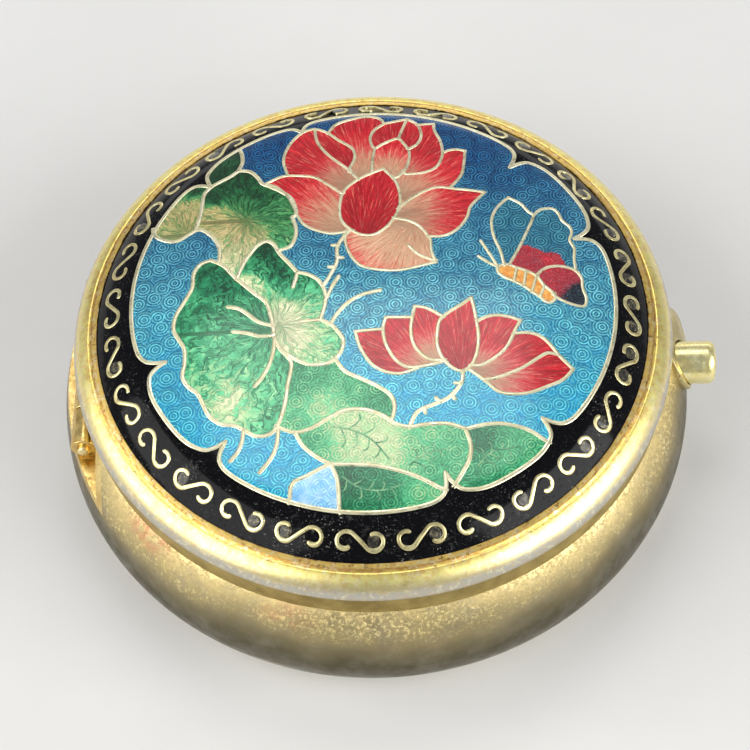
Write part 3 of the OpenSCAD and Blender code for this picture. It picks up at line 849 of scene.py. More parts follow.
SMALL_LOTUS = [
    [(7.7, 0.1), (7.9, -0.9), (8.1, -2.25), (8.2, -3.75), (8, -5.1), (7.6, -6), (7, -6.5),
     (6.25, -6.25), (5.5, -5.4), (5.1, -4.25), (5.1, -3.1), (5.3, -2), (6, -1.25), (7, -0.5),
     (7.7, 0.1)],
    [(3.4, -0.75), (4.25, -0.9), (5.5, -1.65)],
    [(3.4, -0.75), (3.25, -1.5), (3.1, -2.75), (3.25, -4), (3.75, -4.9), (4.5, -5.5), (5.5, -5.6)],
    [(1.2, -1.75), (2.1, -1.75), (3.2, -1.75)],
    [(1.2, -1.75), (1, -2.6), (1.1, -3.75), (1.4, -4.6), (2, -5.6), (2.9, -6.2), (4, -6.1),
     (5.6, -5.7)],
    [(-1.1, -3), (-0.1, -2.9), (1.0, -2.8)],
    [(-1.1, -3), (-0.9, -3.9), (-0.5, -4.9), (0.25, -6), (1.25, -6.6), (2.25, -6.75),
     (3.1, -6.5), (3.7, -6.2)],
    [(11.4, -1.9), (10.5, -1.6), (9.4, -1.5), (8.5, -1.8), (8.1, -2.1)],
    [(11.4, -1.9), (11, -2.75), (10.6, -3.75), (10.1, -4.6), (9.25, -5.4), (8.25, -6), (7.7, -6)],
    [(10.9, -3.1), (12, -3), (12.9, -3.3), (13.6, -4), (14.2, -4.9)],
    [(14.2, -4.9), (13.4, -4.75), (12.6, -5.25), (11.6, -6), (10.5, -6.6), (9.25, -7.1),
     (8.6, -7.2)],
    [(14.2, -4.9), (14.5, -5.25), (15.25, -6.1)],
    [(15.25, -6.1), (14.5, -7), (13.1, -7.75), (11.9, -8.25), (10.6, -8.4), (9.6, -8.2),
     (8.75, -7.4), (7.4, -6.3)],
]
LEAVES = [
    # the large leaf at the left, its slits and its veins
    [(-12.4, 4.1), (-13.25, 3.75), (-13.7, 2.9), (-13.75, 1.6), (-14.25, 0.4), (-14.9, -1),
     (-15, -2.25), (-14.5, -3.25), (-14.1, -4), (-14, -5.25), (-14.1, -6.5), (-13.6, -7.4),
     (-12.9, -8), (-12.4, -9), (-11.9, -10), (-11, -10.7), (-9.9, -10.9), (-9.25, -11.3),
     (-8.4, -11.8), (-7.6, -11.8), (-7, -11.4), (-6.6, -10.5), (-6.25, -9), (-6.1, -7.5),
     (-5.9, -5.6), (-6.75, -4.4), (-7.2, -3.5), (-7.4, -2.1), (-7.6, -1.25), (-8, -0.1),
     (-8.9, 0.75), (-9.75, 1.6), (-10.5, 2.4), (-11.4, 3.5), (-12.4, 4.1)],
    [(-10.9, -0.4), (-10.1, -0.6), (-9.4, -1.1), (-8.5, -1.9), (-7.4, -2.3)],
    [(-10.4, -2.7), (-9.25, -2.9), (-8.4, -3.2), (-7.3, -3.2)],
    [(-7.2, -3.6), (-7.3, -4.75), (-7.6, -5.9), (-8.1, -6.9), (-8.6, -7.6)],
    # the folded leaf beside it
    [(-10.3, 2.3), (-9.9, 3.5), (-9.4, 4.5), (-8.75, 5.4), (-8.1, 5.7), (-7.6, 5.4),
     (-7.1, 4.5), (-6.4, 3.6), (-5.65, 2.6)],
    [(-5.65, 2.6), (-5.75, 2), (-5.95, 1.2)],
    [(-5.65, 2.6), (-4.9, 2.4), (-4.1, 1.9), (-3.6, 1.1), (-3.4, 0.2), (-3.55, -1), (-3.8, -1.9)],
    [(-5.3, -2), (-4.5, -1.95), (-3.8, -1.9), (-3, -2.3), (-2.4, -3), (-2, -3.75), (-2.1, -4.6),
     (-2.6, -5.4), (-3.25, -5.8), (-4.5, -5.85), (-5.5, -5.4), (-6.6, -4.6)],
    # the lobe with stamped rings
    [(-2.6, -5.4), (-1.8, -6.5), (-0.5, -7.2), (0.75, -7.9), (1.6, -8.6), (1.9, -9.5),
     (1.7, -10.7)],
    # the leaf at the upper left, its small neighbour and the one behind
    [(-10.8, 15.7), (-10.5, 14.9), (-10.4, 13.9), (-10.7, 13.05)],
    [(-10.7, 13.05), (-10.3, 13.05), (-9.7, 12.9), (-9.1, 12.25), (-8.7, 11.6), (-8, 11.2),
     (-7.2, 10.7), (-6.4, 10), (-6, 9), (-5.9, 8.3), (-6.2, 8)],
    [(-6.2, 8), (-5.9, 7), (-5.9, 6), (-6.3, 5.1), (-7.3, 4.7)],
    [(-10.7, 13.05), (-11.3, 12.5), (-12.1, 12), (-12.8, 11.5), (-13.3, 10.8), (-13.4, 9.75),
     (-13.5, 8.5), (-13.8, 7.2)],
    [(-17.3, 7.7), (-16.9, 6.8), (-16.1, 6.3), (-15.2, 6.2), (-14.4, 6.7), (-13.5, 7.2),
     (-12.8, 6.8), (-12.2, 6.1), (-11.8, 5.1), (-11.8, 3.8)],
    # the leaves along the bottom
    [(-6.8, -11.1), (-5.45, -11.6), (-4.3, -11.3), (-2.8, -10.35), (-1.8, -9.85), (-0.35, -9.8),
     (1.1, -10.35), (2, -11), (3, -11.25), (4.25, -11.05), (5.9, -11), (7.15, -11.4)],
    [(7.15, -11.4), (7.5, -12.75), (7.4, -13.8), (6.95, -14.8), (6.15, -16.2)],
    [(7.15, -11.4), (8.4, -11.05), (9.65, -10.9), (10.9, -11.1), (12, -11.5), (12.85, -12.1)],
    [(-5.45, -11.6), (-4.9, -12.65), (-3.9, -13.6), (-2.8, -14.2), (-1.2, -14.3), (0.7, -14.45),
     (2.6, -14.95), (3.85, -15.45), (5.2, -16.2)],
    [(-2.8, -14.2), (-2.3, -15.45), (-2.1, -17.9)],
    [(-2.8, -14.2), (-4.5, -15.15), (-5.55, -15.75), (-5.75, -17)],
    [(-9.3, -11.3), (-9.4, -12.3), (-9.7, -13.1), (-10.2, -13.8)],
    [(-6.7, -11.1), (-6.8, -12.6), (-7.2, -13.7), (-8, -14.8)],
]
STEMS = [
    [(-2.0, 6.2), (-2.6, 4.9), (-2.6, 3.6), (-3.1, 2.25), (-3.65, 1.2)],
    [(-2.45, 2.1), (-2.9, 1.25), (-3.35, 0.1)],
    [(-3, -2.3), (-2.6, -1.5), (-1.75, -0.4), (-0.75, 0.3), (0.75, 0.75)],
    [(7, -6.5), (6.9, -7.4), (6.4, -8.25), (5.75, -8.9), (4.75, -9.4), (3.6, -10), (3, -11.2)],
]
BUTTERFLY = [
    [(10.75, 9.9), (10.25, 9.4), (9.7, 8.6), (9.4, 7.7), (9.4, 6.7), (9.6, 5.7), (10, 4.6),
     (10.3, 3.1)],
    [(10.75, 9.9), (11.7, 9.3), (12.3, 8.5), (12.7, 8.2)],
    [(12.7, 8.2), (12.4, 7.25), (12, 6.25), (11.5, 5), (10.6, 3.1)],
    [(12.7, 8.2), (13.2, 8.75), (14.2, 8.9), (14.6, 8.5), (14.9, 7.75), (15.5, 7.1),
     (15.6, 6.5), (15.4, 5.9), (15.75, 5), (15.7, 4.1), (15.8, 2.8)],
    [(12.6, 2.2), (13.4, 3), (14.2, 3.25), (15, 3.2), (15.75, 2.9), (16.2, 2.25), (16.25, 1.3),
     (16.5, 0.25), (16.3, -0.4), (15.3, -0.25), (14.4, 0.2), (13.9, 0.6)],
    [(9.8, 3.1), (9.75, 2.6), (10.2, 2.1), (10.9, 1.75), (11.7, 1.3), (12.3, 0.8), (13, 0.25),
     (13.5, -0.2), (14, 0), (14.1, 0.5), (13.3, 1.4), (12.75, 2.25), (12, 2.7), (11.2, 3),
     (10.5, 3.25), (9.8, 3.1)],
    [(11.0, 1.7), (11.25, 3.0)], [(11.75, 1.3), (11.95, 2.75)], [(12.35, 0.8), (12.75, 2.25)],
    [(12.95, 0.3), (13.35, 1.4)],
    [(9.8, 3.0), (9.25, 4.1), (8.5, 5.5)], [(9.8, 3.0), (9.1, 3.4), (8.3, 4.0)],
]
# Raised sprigs stamped under the bottom leaves: each spine, and the length of its first barbs
SPRIGS = [
    ([(-2.7, -11.2), (-1.3, -11.5), (0.2, -12.3), (1.5, -13.9)], 1.45),
    ([(3.0, -14.4), (4.2, -13.5), (5.9, -13.0)], 0.9),
    ([(-1.9, -15.3), (-0.6, -16.2), (1.0, -16.4), (2.6, -15.9)], 0.95),
    ([(8.0, -14.4), (9.0, -13.3), (11.0, -12.8)], 0.95),
]
# The curls that hold cloudy glass, numbered along the scrolls, two curls to each
SMOKY_CURLS = (0, 1, 3, 4, 7, 10, 12, 15, 16, 19, 24, 30, 34, 39, 43, 46, 48, 49, *range(51, 56))
THORNS = {0: (1.2, 2.3, 3.3), 3: (1.1, 2.2, 3.2, 4.4)}   # distances along two of the stems

# A point in each petal, where its lines start, where they end, and the share that is pale
PETALS = [
    ((0, 9.5), (-0.6, 5.2), (0.9, 12.8), -0.75), ((-5.6, 14.5), (-1.8, 11.2), (-6.6, 16.4), 0.40),
    ((-3.2, 15.2), (-1.4, 12.2), (-4.6, 17.2), 0.02),
    ((-5.5, 9.5), (-1.4, 6.4), (-8.4, 11.5), 0.58),
    ((-0.8, 17), (-0.6, 11.4), (-0.4, 18.9), 0.54), ((1.0, 17.0), (1.6, 14.2), (2.0, 18.2), -0.9),
    ((3.0, 16.9), (2.4, 14.4), (3.0, 18.2), -0.9), ((1.4, 14), (1.2, 11.6), (1.6, 16.0), 0.66),
    ((4.6, 16), (2.3, 11.6), (5.0, 17.75), 0.32), ((6.5, 13), (2.1, 9.8), (7.4, 14.75), 0.52),
    ((6.5, 8.8), (1.6, 8.0), (8.9, 10.4), 0.54), ((0.5, 4.2), (3.4, 7.6), (-0.6, 2.5), 0.98),
    ((6.7, -3.5), (6.9, -7.2), (7.6, 0.1), -0.4), ((4.2, -2.5), (5.2, -6.0), (3.4, -0.75), 0.50),
    ((2.0, -3.2), (5.0, -6.6), (1.2, -1.75), 0.48), ((0.2, -4), (4.4, -6.8), (-1.1, -3), 0.30),
    ((9.6, -3), (7.7, -6.6), (11.4, -1.9), 0.35), ((11, -4.5), (7.8, -6.5), (13.8, -4), 0.42),
    ((12.5, -6.8), (7.8, -6.6), (15.2, -6.1), 0.50),
]
# A point in each leaf's cell, where its veins start, and how dark the green is at some points
VEINED_LEAVES = [
    ((-11, -5), (-7.6, -2.8), [(-11.5, 2.4, 0.85), (-14.2, -1.2, 0.72), (-8.6, -0.8, 0.70),
                               (-12.5, -4, 0.55), (-10.6, -8.9, 0.12), (-12.3, -8, 0.45),
                               (-8.5, -7, 0.50), (-7.6, -10.8, 0.55), (-6.6, -6, 0.62)]),
    ((-7, 1), (-6.9, -2.3), [(-8.3, 4.8, 0.95), (-9.2, 3.2, 0.65), (-9.3, 1.5, 0.05),
                             (-7.2, 2.6, 0.85), (-5.0, 1.6, 0.75), (-4.2, 0.2, 0.45),
                             (-6.2, -1.4, 0.08), (-5.4, -3.8, 0.05), (-2.7, -3.4, 0.40),
                             (-4.2, -5.4, 0.30)]),
    ((-10, 9), (-9.9, 7.9), [(-10.3, 12.4, 1.0), (-12.6, 10.4, 1.0), (-8.6, 10.3, 0.85),
                             (-12.6, 8.8, 0.10), (-11.4, 6.6, 0.08), (-10.6, 3.4, 0.10),
                             (-9.2, 5.6, 0.12), (-7.6, 8.6, 0.60), (-6.6, 6.2, 0.55)]),
    ((-15, 9), (-14.2, 6.6), [(-14.2, 11.3, 0.95), (-15.4, 8.8, 0.16), (-14.2, 9.6, 0.12),
                              (-15.6, 6.9, 0.22)]),
    ((-11.4, 14), (-12, 12.4), [(-11, 14.5, 1.0), (-12, 13.4, 0.95)]),
]
STAMPED_LEAVES = [
    ((-3, -8.5), (-6, -6), [(-5, -7, 0.55), (-1, -7.8, 0.45), (-3.4, -9.6, 0.20),
                            (0.8, -9, 0.55), (-5.6, -10.6, 0.40)]),
    ((1, -12.5), (-1, -14), [(-4.4, -12.2, 0.45), (-1.4, -11.2, 0.08), (0.8, -12.6, 0.02),
                             (4.2, -12.4, 0.35), (6.6, -12.6, 0.42), (5.4, -14.6, 0.45)]),
    ((1, -16.3), (0, -17.8), [(-1.4, -15.2, 0.75), (1, -16.6, 0.65), (3.8, -16.8, 0.35)]),
    ((9.5, -13), (9.6, -15.4), [(8.4, -12.2, 0.70), (11.6, -12, 0.45), (7.6, -15.4, 0.55),
                                (10.4, -13.6, 0.45)]),
]
# A point in each wing's cell, where its pattern starts, and tones: 0 dark, 0.3 red, 1 blue
WINGS = [
    ((10.9, 6.5), (10.4, 3.2), [(10.6, 8, 1.0), (10.6, 4, 0.9)]),
    ((13.8, 6), (10.8, 3.0), [(14, 8, 1.0), (14.4, 6, 0.95), (13.2, 6.2, 0.85),
                              (12.4, 3.8, 0.25), (14.4, 3.8, 0.35), (15.4, 4.2, 0.75),
                              (11.4, 3.6, 0.3)]),
    ((14.8, 1.6), (13.6, 1.2), [(14, 2, 0.35), (15.4, 2.6, 0.3), (16.2, 0, 0.0),
                                (15.9, 1, 0.06)]),
]
# A point in each of the plain cells
BUTTERFLY_BODY = [((10.4, 2.6),), ((11.5, 2.2),), ((12.2, 1.8),), ((12.8, 1.3),), ((13.6, 0.5),)]
PALE_CELL = [((-4, -16.6),)]
BORDER = [((0, -20.2),)]


def cartouche():
    """The lobed outline round the picture: its lobes, each from cusp to cusp."""
    lobes = []
    for number in range(8):
        middle, half = ((0, SHORT_LOBE), (45, LONG_LOBE))[number % 2]
        sides = []
        for tip in (CUSP_TIPS[number], CUSP_TIPS[(number + 1) % 8]):
            rise = [(half - off, tip + (LOBE_R - tip) * share) for off, share in CUSP]
            sides.append(rise + [(0.45 * half, LOBE_R - 0.04)])     # then nearly round
        line = [(-off, r) for off, r in sides[0]] + [(0, LOBE_R)] + sides[1][::-1]
        turns, r = np.array(line).T
        t = np.radians(CARTOUCHE_TURN + 90 * (number // 2) + middle + turns)
        lobes.append(spline(CARTOUCHE_AT + np.column_stack([r * np.cos(t), r * np.sin(t)])))
    return lobes


def half_scroll(mirrored):
    """From a scroll's middle along its straight and round its curl, about its own centre."""
    big, small, half = SCROLL_BIG, SCROLL_SMALL, SCROLL_HALF
    lean = math.degrees(math.acos(big / half))
    points = np.vstack([[[0, 0]], arc((-half, 0), big, big, lean, 180, 18),
                        arc((small - half - big, 0), small, small, 180, 300, 12)[1:]])
    return points * [-1 if mirrored else 1, 1]


def scrolls():
    """The border's S-shaped wires, on the flat, and the middles of their curls."""
    wires, curls = [], []
    lean = math.cos(math.asin((SCROLL_RING - EDGE_CR) / EDGE_R))
    for i in range(SCROLLS):
        turn = math.radians(SCROLL_START - 360 / SCROLLS * i)
        outward = np.array([math.cos(turn), math.sin(turn)])
        along = left_of(outward)

        def place(points):
            points = np.asarray(points)
            return outward * (SCROLL_RING - points[:, 1:] * lean) + along * points[:, :1]

        half = half_scroll(i % 2)
        wires.append(place(np.vstack([half[::-1], -half[1:]])))
        curls += [*place([(SCROLL_HALF, 0), (-SCROLL_HALF, 0)])]
    return wires, curls


def lengthened(paths, fixed, reach=0.5, past=0.08):
    """Runs each loose end of a path on to the nearest other wire, if one is within reach."""
    out = []
    for i, path in enumerate(paths):
        others = np.vstack([p for k, p in enumerate(paths) if k != i] + fixed)
        path = list(path)
        for end in (0, -1):
            if np.linalg.norm(path[0] - path[-1]) < 1e-6:
                break
            gap = others - path[end]
            distance = np.hypot(gap[:, 0], gap[:, 1])
            nearest = distance.argmin()
            if 1e-6 < distance[nearest] < reach:
                target = others[nearest]
                beyond = target + gap[nearest] / distance[nearest] * past
                path[0:0] = [beyond, target] if end == 0 else []
                path += [target, beyond] if end == -1 else []
        out.append(np.array(path))
    return out


def smoky_spot(shape, centre):
    """A flat spot of glass in a curl, given as shares of its radius and lifts off the dome."""
    turn = np.linspace(0, 2 * math.pi, 24, endpoint=False)
    ring = np.column_stack([np.cos(turn), np.sin(turn)]) * SPOT_R
    steps = [(0.3, -0.1), (1, -0.1), (1, 0.002), (0.85, 0.012), (0.4, 0.016), (0.1, 0.016)]
    shape.loft([on_dome(centre + ring * share, lift) for share, lift in steps])


def wire(shape, path, width, proud):
    """A flat wire set on edge in the enamel, its top rubbed round and just proud."""
    section = [(-0.5, -0.3), (-0.5, -0.01), (-0.42, proud * 0.55), (-0.22, proud), (0.22, proud),
               (0.42, proud * 0.55), (0.5, -0.01), (0.5, -0.3)]
    path = np.asarray(path, float)
    keep = np.r_[True, np.linalg.norm(np.diff(path, axis=0), axis=1) > 1e-4]
    path = path[keep]
    heading = np.gradient(path, axis=0)
    heading /= np.linalg.norm(heading, axis=1)[:, None]
    widths = np.full(len(path), width)
    # two more rows round each end: how far each is past the last one, and past the wire's end
    for end, sign in ((0, -1), (-1, 1)):
        for step, reach in ((0.35, 0.35), (0.13, 0.48)):
            point = path[end] + sign * heading[end] * width * step
            narrow = width * math.sqrt(1 - (2 * reach) ** 2)
            spot = 0 if end == 0 else len(path)
            path = np.insert(path, spot, point, axis=0)
            heading = np.insert(heading, spot, heading[end], axis=0)
            widths = np.insert(widths, spot, narrow)
    side = np.column_stack([-heading[:, 1], heading[:, 0]]) * widths[:, None]
    rows = [on_dome(path + side * across, lift) for across, lift in section]
    shape.loft(np.stack(rows, axis=1))


def wires(name, paths, widths, material, slot="wire_brass", replaces=(), proud=WIRE_PROUD):
    """One piece made of many wires, of one width or of a width each."""
    shape = Shape()
    for path, width in zip(paths, np.broadcast_to(widths, len(paths))):
        wire(shape, path, width, proud)
    piece(name, shape, material, "lid", replaces)


def thorned(stems):
    """Short spurs across two of the stems."""
    spurs = []
    for index, places in THORNS.items():
        path = stems[index]
        run = np.r_[0, np.cumsum(np.linalg.norm(np.diff(path, axis=0), axis=1))]
        for k, place in enumerate(places):
            i = int(np.searchsorted(run, place))
            ahead = (path[i] - path[i - 1]) / np.linalg.norm(path[i] - path[i - 1])
            out = left_of(ahead) * (1 if k % 2 else -1) + 0.35 * ahead
            spurs.append(np.array([path[i], path[i] + out * 0.2, path[i] + out * 0.4]))
    return spurs


def feathered(spine, length):
    """A sprig: its spine, and barbs that shorten and lean forward towards its tip."""
    path = spline(spine)
    lines = [path]
    for k, share in enumerate(np.linspace(0.12, 0.82, 7)):
        i = int(share * (len(path) - 1))
        ahead = (path[i + 1] - path[i]) / np.linalg.norm(path[i + 1] - path[i])
        across = left_of(ahead) * (1 if k % 2 else -1)
        barb = [path[i] + (ahead * lean + across * out) * length * (1.05 - 0.6 * share)
                for lean, out in ((0, 0), (0.28, 0.42), (0.42, 0.80), (0.30, 1.05))]
        lines.append(spline(barb))
    return lines


class Picture:
    """The lid's disc, cut into cells by the wires."""

    def __init__(self, paths, outer):
        pitch = 0.42    # between the loose points that fill the cells
        points, edges = [], []
        for path in paths + [outer]:
            start = len(points)
            points += [tuple(p) for p in path]
            edges += [(start + k, start + k + 1) for k in range(len(path) - 1)]
        edges.append((len(points) - 1, start))      # the outer line is closed
        rows = int(ENAMEL_R / pitch) + 1
        for j in range(-rows, rows + 1):
            for i in range(-rows, rows + 1):
                x, y = (i + (j % 2) / 2) * pitch, j * pitch * 0.866
                if math.hypot(x, y) < ENAMEL_R - 0.3:
                    points.append((x, y))
        made = geometry.delaunay_2d_cdt([Vector(p) for p in points], edges, [], 0, 1e-4, True)
        self.points = np.array([tuple(p) for p in made[0]])
        self.faces = [list(f) for f in made[2]]
        walls = {tuple(sorted(e)) for e, source in zip(made[1], made[4]) if source}
        self.cell = self.label(walls)

    def label(self, walls):
        """Gives every triangle the number of the cell it lies in."""
        beside = {}
        for number, face in enumerate(self.faces):
            for a, b in zip(face, face[1:] + face[:1]):
                beside.setdefault(tuple(sorted((a, b))), []).append(number)
        across = [[] for _ in self.faces]
        for edge, pair in beside.items():
            if edge not in walls and len(pair) == 2:
                across[pair[0]].append(pair[1])
                across[pair[1]].append(pair[0])
        cell = np.full(len(self.faces), -1)
        for start in range(len(self.faces)):
            if cell[start] >= 0:
                continue
            cell[start], queue = start, [start]
            while queue:
                for other in across[queue.pop()]:
                    if cell[other] < 0:
                        cell[other] = start
                        queue.append(other)
        return cell

    def at(self, point):
        """The number of the cell that a point lies in."""
        corners = self.points[np.array(self.faces)]
        along = np.roll(corners, -1, axis=1) - corners
        gap = np.array(point) - corners
        signs = along[..., 0] * gap[..., 1] - along[..., 1] * gap[..., 0]
        inside = (signs >= -1e-9).all(1) | (signs <= 1e-9).all(1)
        return self.cell[inside.argmax()]

    def solids(self, name, cells, flow=None):
        """A closed slab of enamel for each listed cell, with a flow for its pattern."""
        shape, flows = Shape(), []
        for index, number in enumerate(cells):
            faces = [f for f, c in zip(self.faces, self.cell) if c == number]
            used = sorted({i for f in faces for i in f})
            spot = {i: k for k, i in enumerate(used)}
            count = len(used)
            flat = self.points[used]
            top = [[spot[i] for i in f] for f in faces]
            bottom = [[count + i for i in f[::-1]] for f in top]
            edges = dict.fromkeys((a, b) for f in top for a, b in zip(f, f[1:] + f[:1]))
            sides = [[b, a, count + a, count + b] for a, b in edges if (b, a) not in edges]
            shape.add(np.vstack([on_dome(flat), on_dome(flat, -ENAMEL_T)]), top + bottom + sides)
            if flow:
                flows += flow(index, flat) * 2
        data = shape.raw(name)
        if flow:
            data.attributes.new("flow", "FLOAT_VECTOR", "POINT").data.foreach_set(
                "vector", np.array(flows, np.float32).ravel())
        turned_out(data)
        return smoothed(data)


def petal_flow(index, flat):
    """Across and along a petal's lines, and how red it is."""
    _, foot, tip, pale = PETALS[index]
    axis = np.subtract(tip, foot)
    reach = np.linalg.norm(axis)
    axis = axis / reach
    gap = flat - np.array(foot)
    along, side = gap @ axis, gap @ left_of(axis)
    turn = np.arctan2(side, np.maximum(along, 0.05))
    run = np.hypot(along, side)
    tone = 0.5 + np.clip((run / reach - pale) * 1.15, -0.5, 0.28)
    return [(t * reach * 0.6 + index * 7.3, r, v)
            for t, r, v in zip(turn, run, np.clip(tone, 0, 0.95))]


def toned_flow(cells):
    """A flow for leaves and wings: round and out from one point, with toned places."""
    def flow(index, flat):
        _, foot, tones = cells[index]
        x, y = (flat - np.array(foot)).T
        run, turn = np.hypot(x, y), np.arctan2(y, x)
        tones = np.array(tones)
        apart = np.linalg.norm(flat[:, None] - tones[None, :, :2], axis=2)
        weights = 1 / (apart ** 3 + 0.05)
        tone = (weights * tones[:, 2]).sum(1) / weights.sum(1)
        return [(t * 3.5, r, v) for t, r, v in zip(turn, run, tone)]
    return flow


def drawn_wires(lobes):
    """The picture's wires and their widths; those that nearly meet are run together."""
    parts = [(LARGE_LOTUS, FINE_WIRE_W), (SMALL_LOTUS, LOTUS_WIRE_W), (LEAVES, WIRE_W),
             (BUTTERFLY, FINE_WIRE_W), (STEMS, WIRE_W)]
    paths = [spline(line) for part, _ in parts for line in part]
    widths = [width for part, width in parts for _ in part]
    return lengthened(paths, lobes), widths


def claimed_cells(picture):
    """The cells of each kind of enamel, and whatever is left over for the blue."""
    kinds = {"black": BORDER, "pale": PALE_CELL, "petals": PETALS, "veined": VEINED_LEAVES,
             "stamped": STAMPED_LEAVES, "wings": WINGS, "amber": BUTTERFLY_BODY}
    claimed = {kind: [picture.at(cell[0]) for cell in cells] for kind, cells in kinds.items()}
    taken = [cell for cells in claimed.values() for cell in cells]
    for kind, cells in claimed.items():
        doubled = [k for k, cell in enumerate(cells) if taken.count(cell) > 1]
        if doubled:
            print("cells that run together:", kind, doubled)
    claimed["blue"] = [cell for cell in sorted(set(picture.cell)) if cell not in taken]
    return claimed


def make_picture():
    """The disc of enamel, cell by cell, and the wires and sprigs in it."""
    lobes = cartouche()
    paths, widths = drawn_wires(lobes)
    turn = np.radians(np.arange(0, 360, 1))
    picture = Picture(lobes + paths, np.column_stack([np.cos(turn), np.sin(turn)]) * ENAMEL_R)
    claimed = claimed_cells(picture)

    def enamel(name, kind, material, flow=None, replaces=()):
        piece(name, picture.solids(name, claimed[kind], flow), material, "lid", replaces)

    enamel("black_border", "black", black_enamel(), None, ["enamel_border"])
    enamel("blue_ground", "blue", blue_enamel(), replaces=["enamel_field"])
    enamel("lotus_petals", "petals", petal_enamel(), petal_flow)
    enamel("veined_leaves", "veined", leaf_enamel("veined_enamel", False),
           toned_flow(VEINED_LEAVES))
    enamel("stamped_leaves", "stamped", leaf_enamel("stamped_enamel", True),
           toned_flow(STAMPED_LEAVES))
    enamel("butterfly_wings", "wings", wing_enamel(), toned_flow(WINGS))
    enamel("butterfly_body", "amber", amber_enamel())
    enamel("pale_cell", "pale", pale_enamel())

    wires("cartouche_line", lobes, WIRE_W, METAL["wire_brass"], replaces=["cartouche_wire"])
    spurs = thorned([spline(stem) for stem in STEMS])
    wires("picture_wires", paths + spurs, widths + [WIRE_W] * len(spurs), METAL["wire_brass"])
    sprigs = [path for spine, length in SPRIGS for path in feathered(spine, length)]
    wires("leaf_sprigs", sprigs, SPRIG_W, leaf_foil(), "blue_enamel", proud=SPRIG_PROUD)


def make_scrolls():
    """The border's scrolls, and the cloudy spots in some of their curls."""
    paths, curls = scrolls()
    spots = Shape()
    for index in SMOKY_CURLS:
        smoky_spot(spots, curls[index])
    piece("smoky_spots", spots, smoky_enamel(), "lid")
    wires("scroll_lines", paths, SCROLL_WIRE_W, METAL["scroll_brass"], replaces=["scroll_wires"])


# ---------------------------------------------------------------- inside

def dress(node, material):
    """Gives a CAD node its material."""
    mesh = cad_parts[node].data
    mesh.materials.clear()
    mesh.materials.append(material)


def make_spring():
    """The latch's flat spring: fixed at its foot, and pushed in higher up by the button."""
    foot, top, half = SPRING_LOW[2], SPRING_HIGH[2], SPRING_HIGH[1]
    back, nose = SPRING_LOW[0], SPRING_HIGH[0]
    face, hook = back + 0.3, top - 0.5
    heights = np.linspace(foot, hook, 24)[1:-1]
    outline = eased([(back, foot, 0.05), (face, foot, 0.05), *((face, z) for z in heights),
                     (face, hook, 0.1), (nose, hook, 0.04), (nose, hook + 0.15, 0.06),
                     (face, top, 0.1), (back, top, 0.08), *((back, z) for z in heights[::-1])])
    x, z = outline.T
    rows = []
    for y, inset in ((-half, 0.04), (0.05 - half, 0), (half - 0.05, 0), (half, 0.04)):
        eased_x = x + np.where(x > back + 0.15, -inset, inset)
        eased_z = np.clip(z, foot + inset, top - inset)
        rows.append(np.column_stack([eased_x, np.full(len(x), y), eased_z]))
    leaf = piece("spring_leaf", Shape().loft(rows), METAL["spring_steel"], None,
                 ["latch_spring"])
    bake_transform(leaf)


def make_inside():
    for node in ("base_collar", "button_guide", "latch_block", "lid_catch", "mirror_ring"):
        dress(node, METAL["inner_brass"])
    dress("hinge_seat", METAL["hinge_brass"])
    dress("latch_rivets", METAL["spring_steel"])
    dress("button_stem", METAL["spring_steel"])
    dress("enamel_plate", METAL["copper_sheet"])
    dress("counter_enamel", soft_finish("counter_glaze", (0.02, 0.05, 0.16), (0.03, 0.08, 0.22),
                                        0.15, 0.02, Coat_Weight=0.5))
    dress("backing_card", soft_finish("card", (0.58, 0.48, 0.33), (0.50, 0.40, 0.26), 0.8, 0.05))
    dress("lid_mirror", soft_finish("mirror_glass", (0.88, 0.90, 0.91), (0.86, 0.88, 0.89),
                                    0.03, 0.0002, Metallic=1.0))
    dress("pill_tray", soft_finish("tray_plastic", (0.80, 0.76, 0.62), (0.76, 0.71, 0.56),
                                   0.42, 0.01, Subsurface_Weight=0.15))


# ---------------------------------------------------------------- the studio

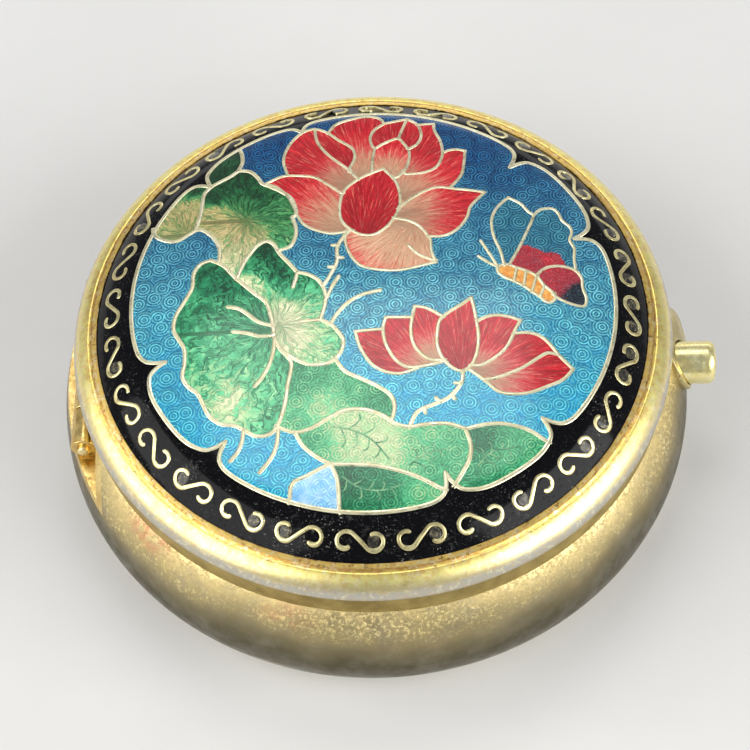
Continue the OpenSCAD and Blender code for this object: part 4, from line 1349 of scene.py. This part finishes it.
def make_floor():
    """A pale floor, just below the base so that the two don't share a plane."""
    half, low = 1.2, -0.05 * MM
    corners = [(-half, -half, low), (half, -half, low), (half, half, low), (-half, half, low)]
    ground = bpy.data.meshes.new("floor")
    ground.from_pydata(corners, [], [(0, 1, 2, 3)])
    floor = placed("floor", ground)
    ground.materials.append(soft_finish("floor_paper", (0.72, 0.71, 0.69), (0.70, 0.69, 0.67),
                                        0.7, 0.02, 0.05))


def make_world():
    world = bpy.data.worlds.new("studio")
    bpy.context.scene.world = world
    world.use_nodes = True
    air = world.node_tree.nodes["Background"].inputs
    air["Color"].default_value, air["Strength"].default_value = (0.88, 0.90, 0.93, 1), 0.40


def make_lights():
    # each light: where it is in metres, its size and its power; all are aimed at the box
    lights = {
        "sky": ((-0.02, 0.235, 0.50), (0.24, 0.17), 0.42),
        "key": ((-0.40, -0.16, 0.30), (0.60, 0.45), 2.3),
        "fill": ((0.40, -0.20, 0.26), (0.45, 0.35), 2.1),
        "back": ((0.02, 0.50, 0.13), (0.70, 0.10), 0.35),
    }
    for name, (at, size, power) in lights.items():
        lamp = bpy.data.lights.new(name, "AREA")
        lamp.shape = "RECTANGLE"
        lamp.size, lamp.size_y = size
        lamp.energy = power
        made = placed(name, lamp)
        made.location = at
        made.rotation_euler = (-Vector(at)).to_track_quat("-Z", "Y").to_euler()


def make_camera():
    """From above the near side, with the button 3.5 degrees short of due right."""
    elevation, roll, turn = map(math.radians, (57.23, -3.55, 3.5))
    ring = Vector((0, 0, CROWN_Z - 1.6)) * MM       # the middle of the ring of scrolls
    off = Vector((0, -100.9, 147.5)) * MM           # from there to the camera, before its turn
    back = Vector((0, -math.cos(elevation), math.sin(elevation)))
    right = Vector((1, 0, 0))
    up = back.cross(right)
    tilted = math.cos(roll) * right + math.sin(roll) * up
    axes = Matrix((tilted, back.cross(tilted), back)).transposed()
    spin = Matrix.Rotation(turn, 3, "Z")
    lens = bpy.data.cameras.new("camera")
    lens.sensor_width = 36
    lens.lens = 111.6
    lens.clip_start, lens.clip_end = 0.01, 10
    camera = placed("camera", lens)
    camera.matrix_world = Matrix.Translation(ring + spin @ off) @ (spin @ axes).to_4x4()
    bpy.context.scene.camera = camera
    bpy.context.scene.view_settings.view_transform = "Standard"


make_camera()
make_floor()
make_world()
make_lights()
make_base()
make_button_plate()
make_button()
make_hinge()
make_rim()
make_picture()
make_scrolls()
make_spring()
make_inside()
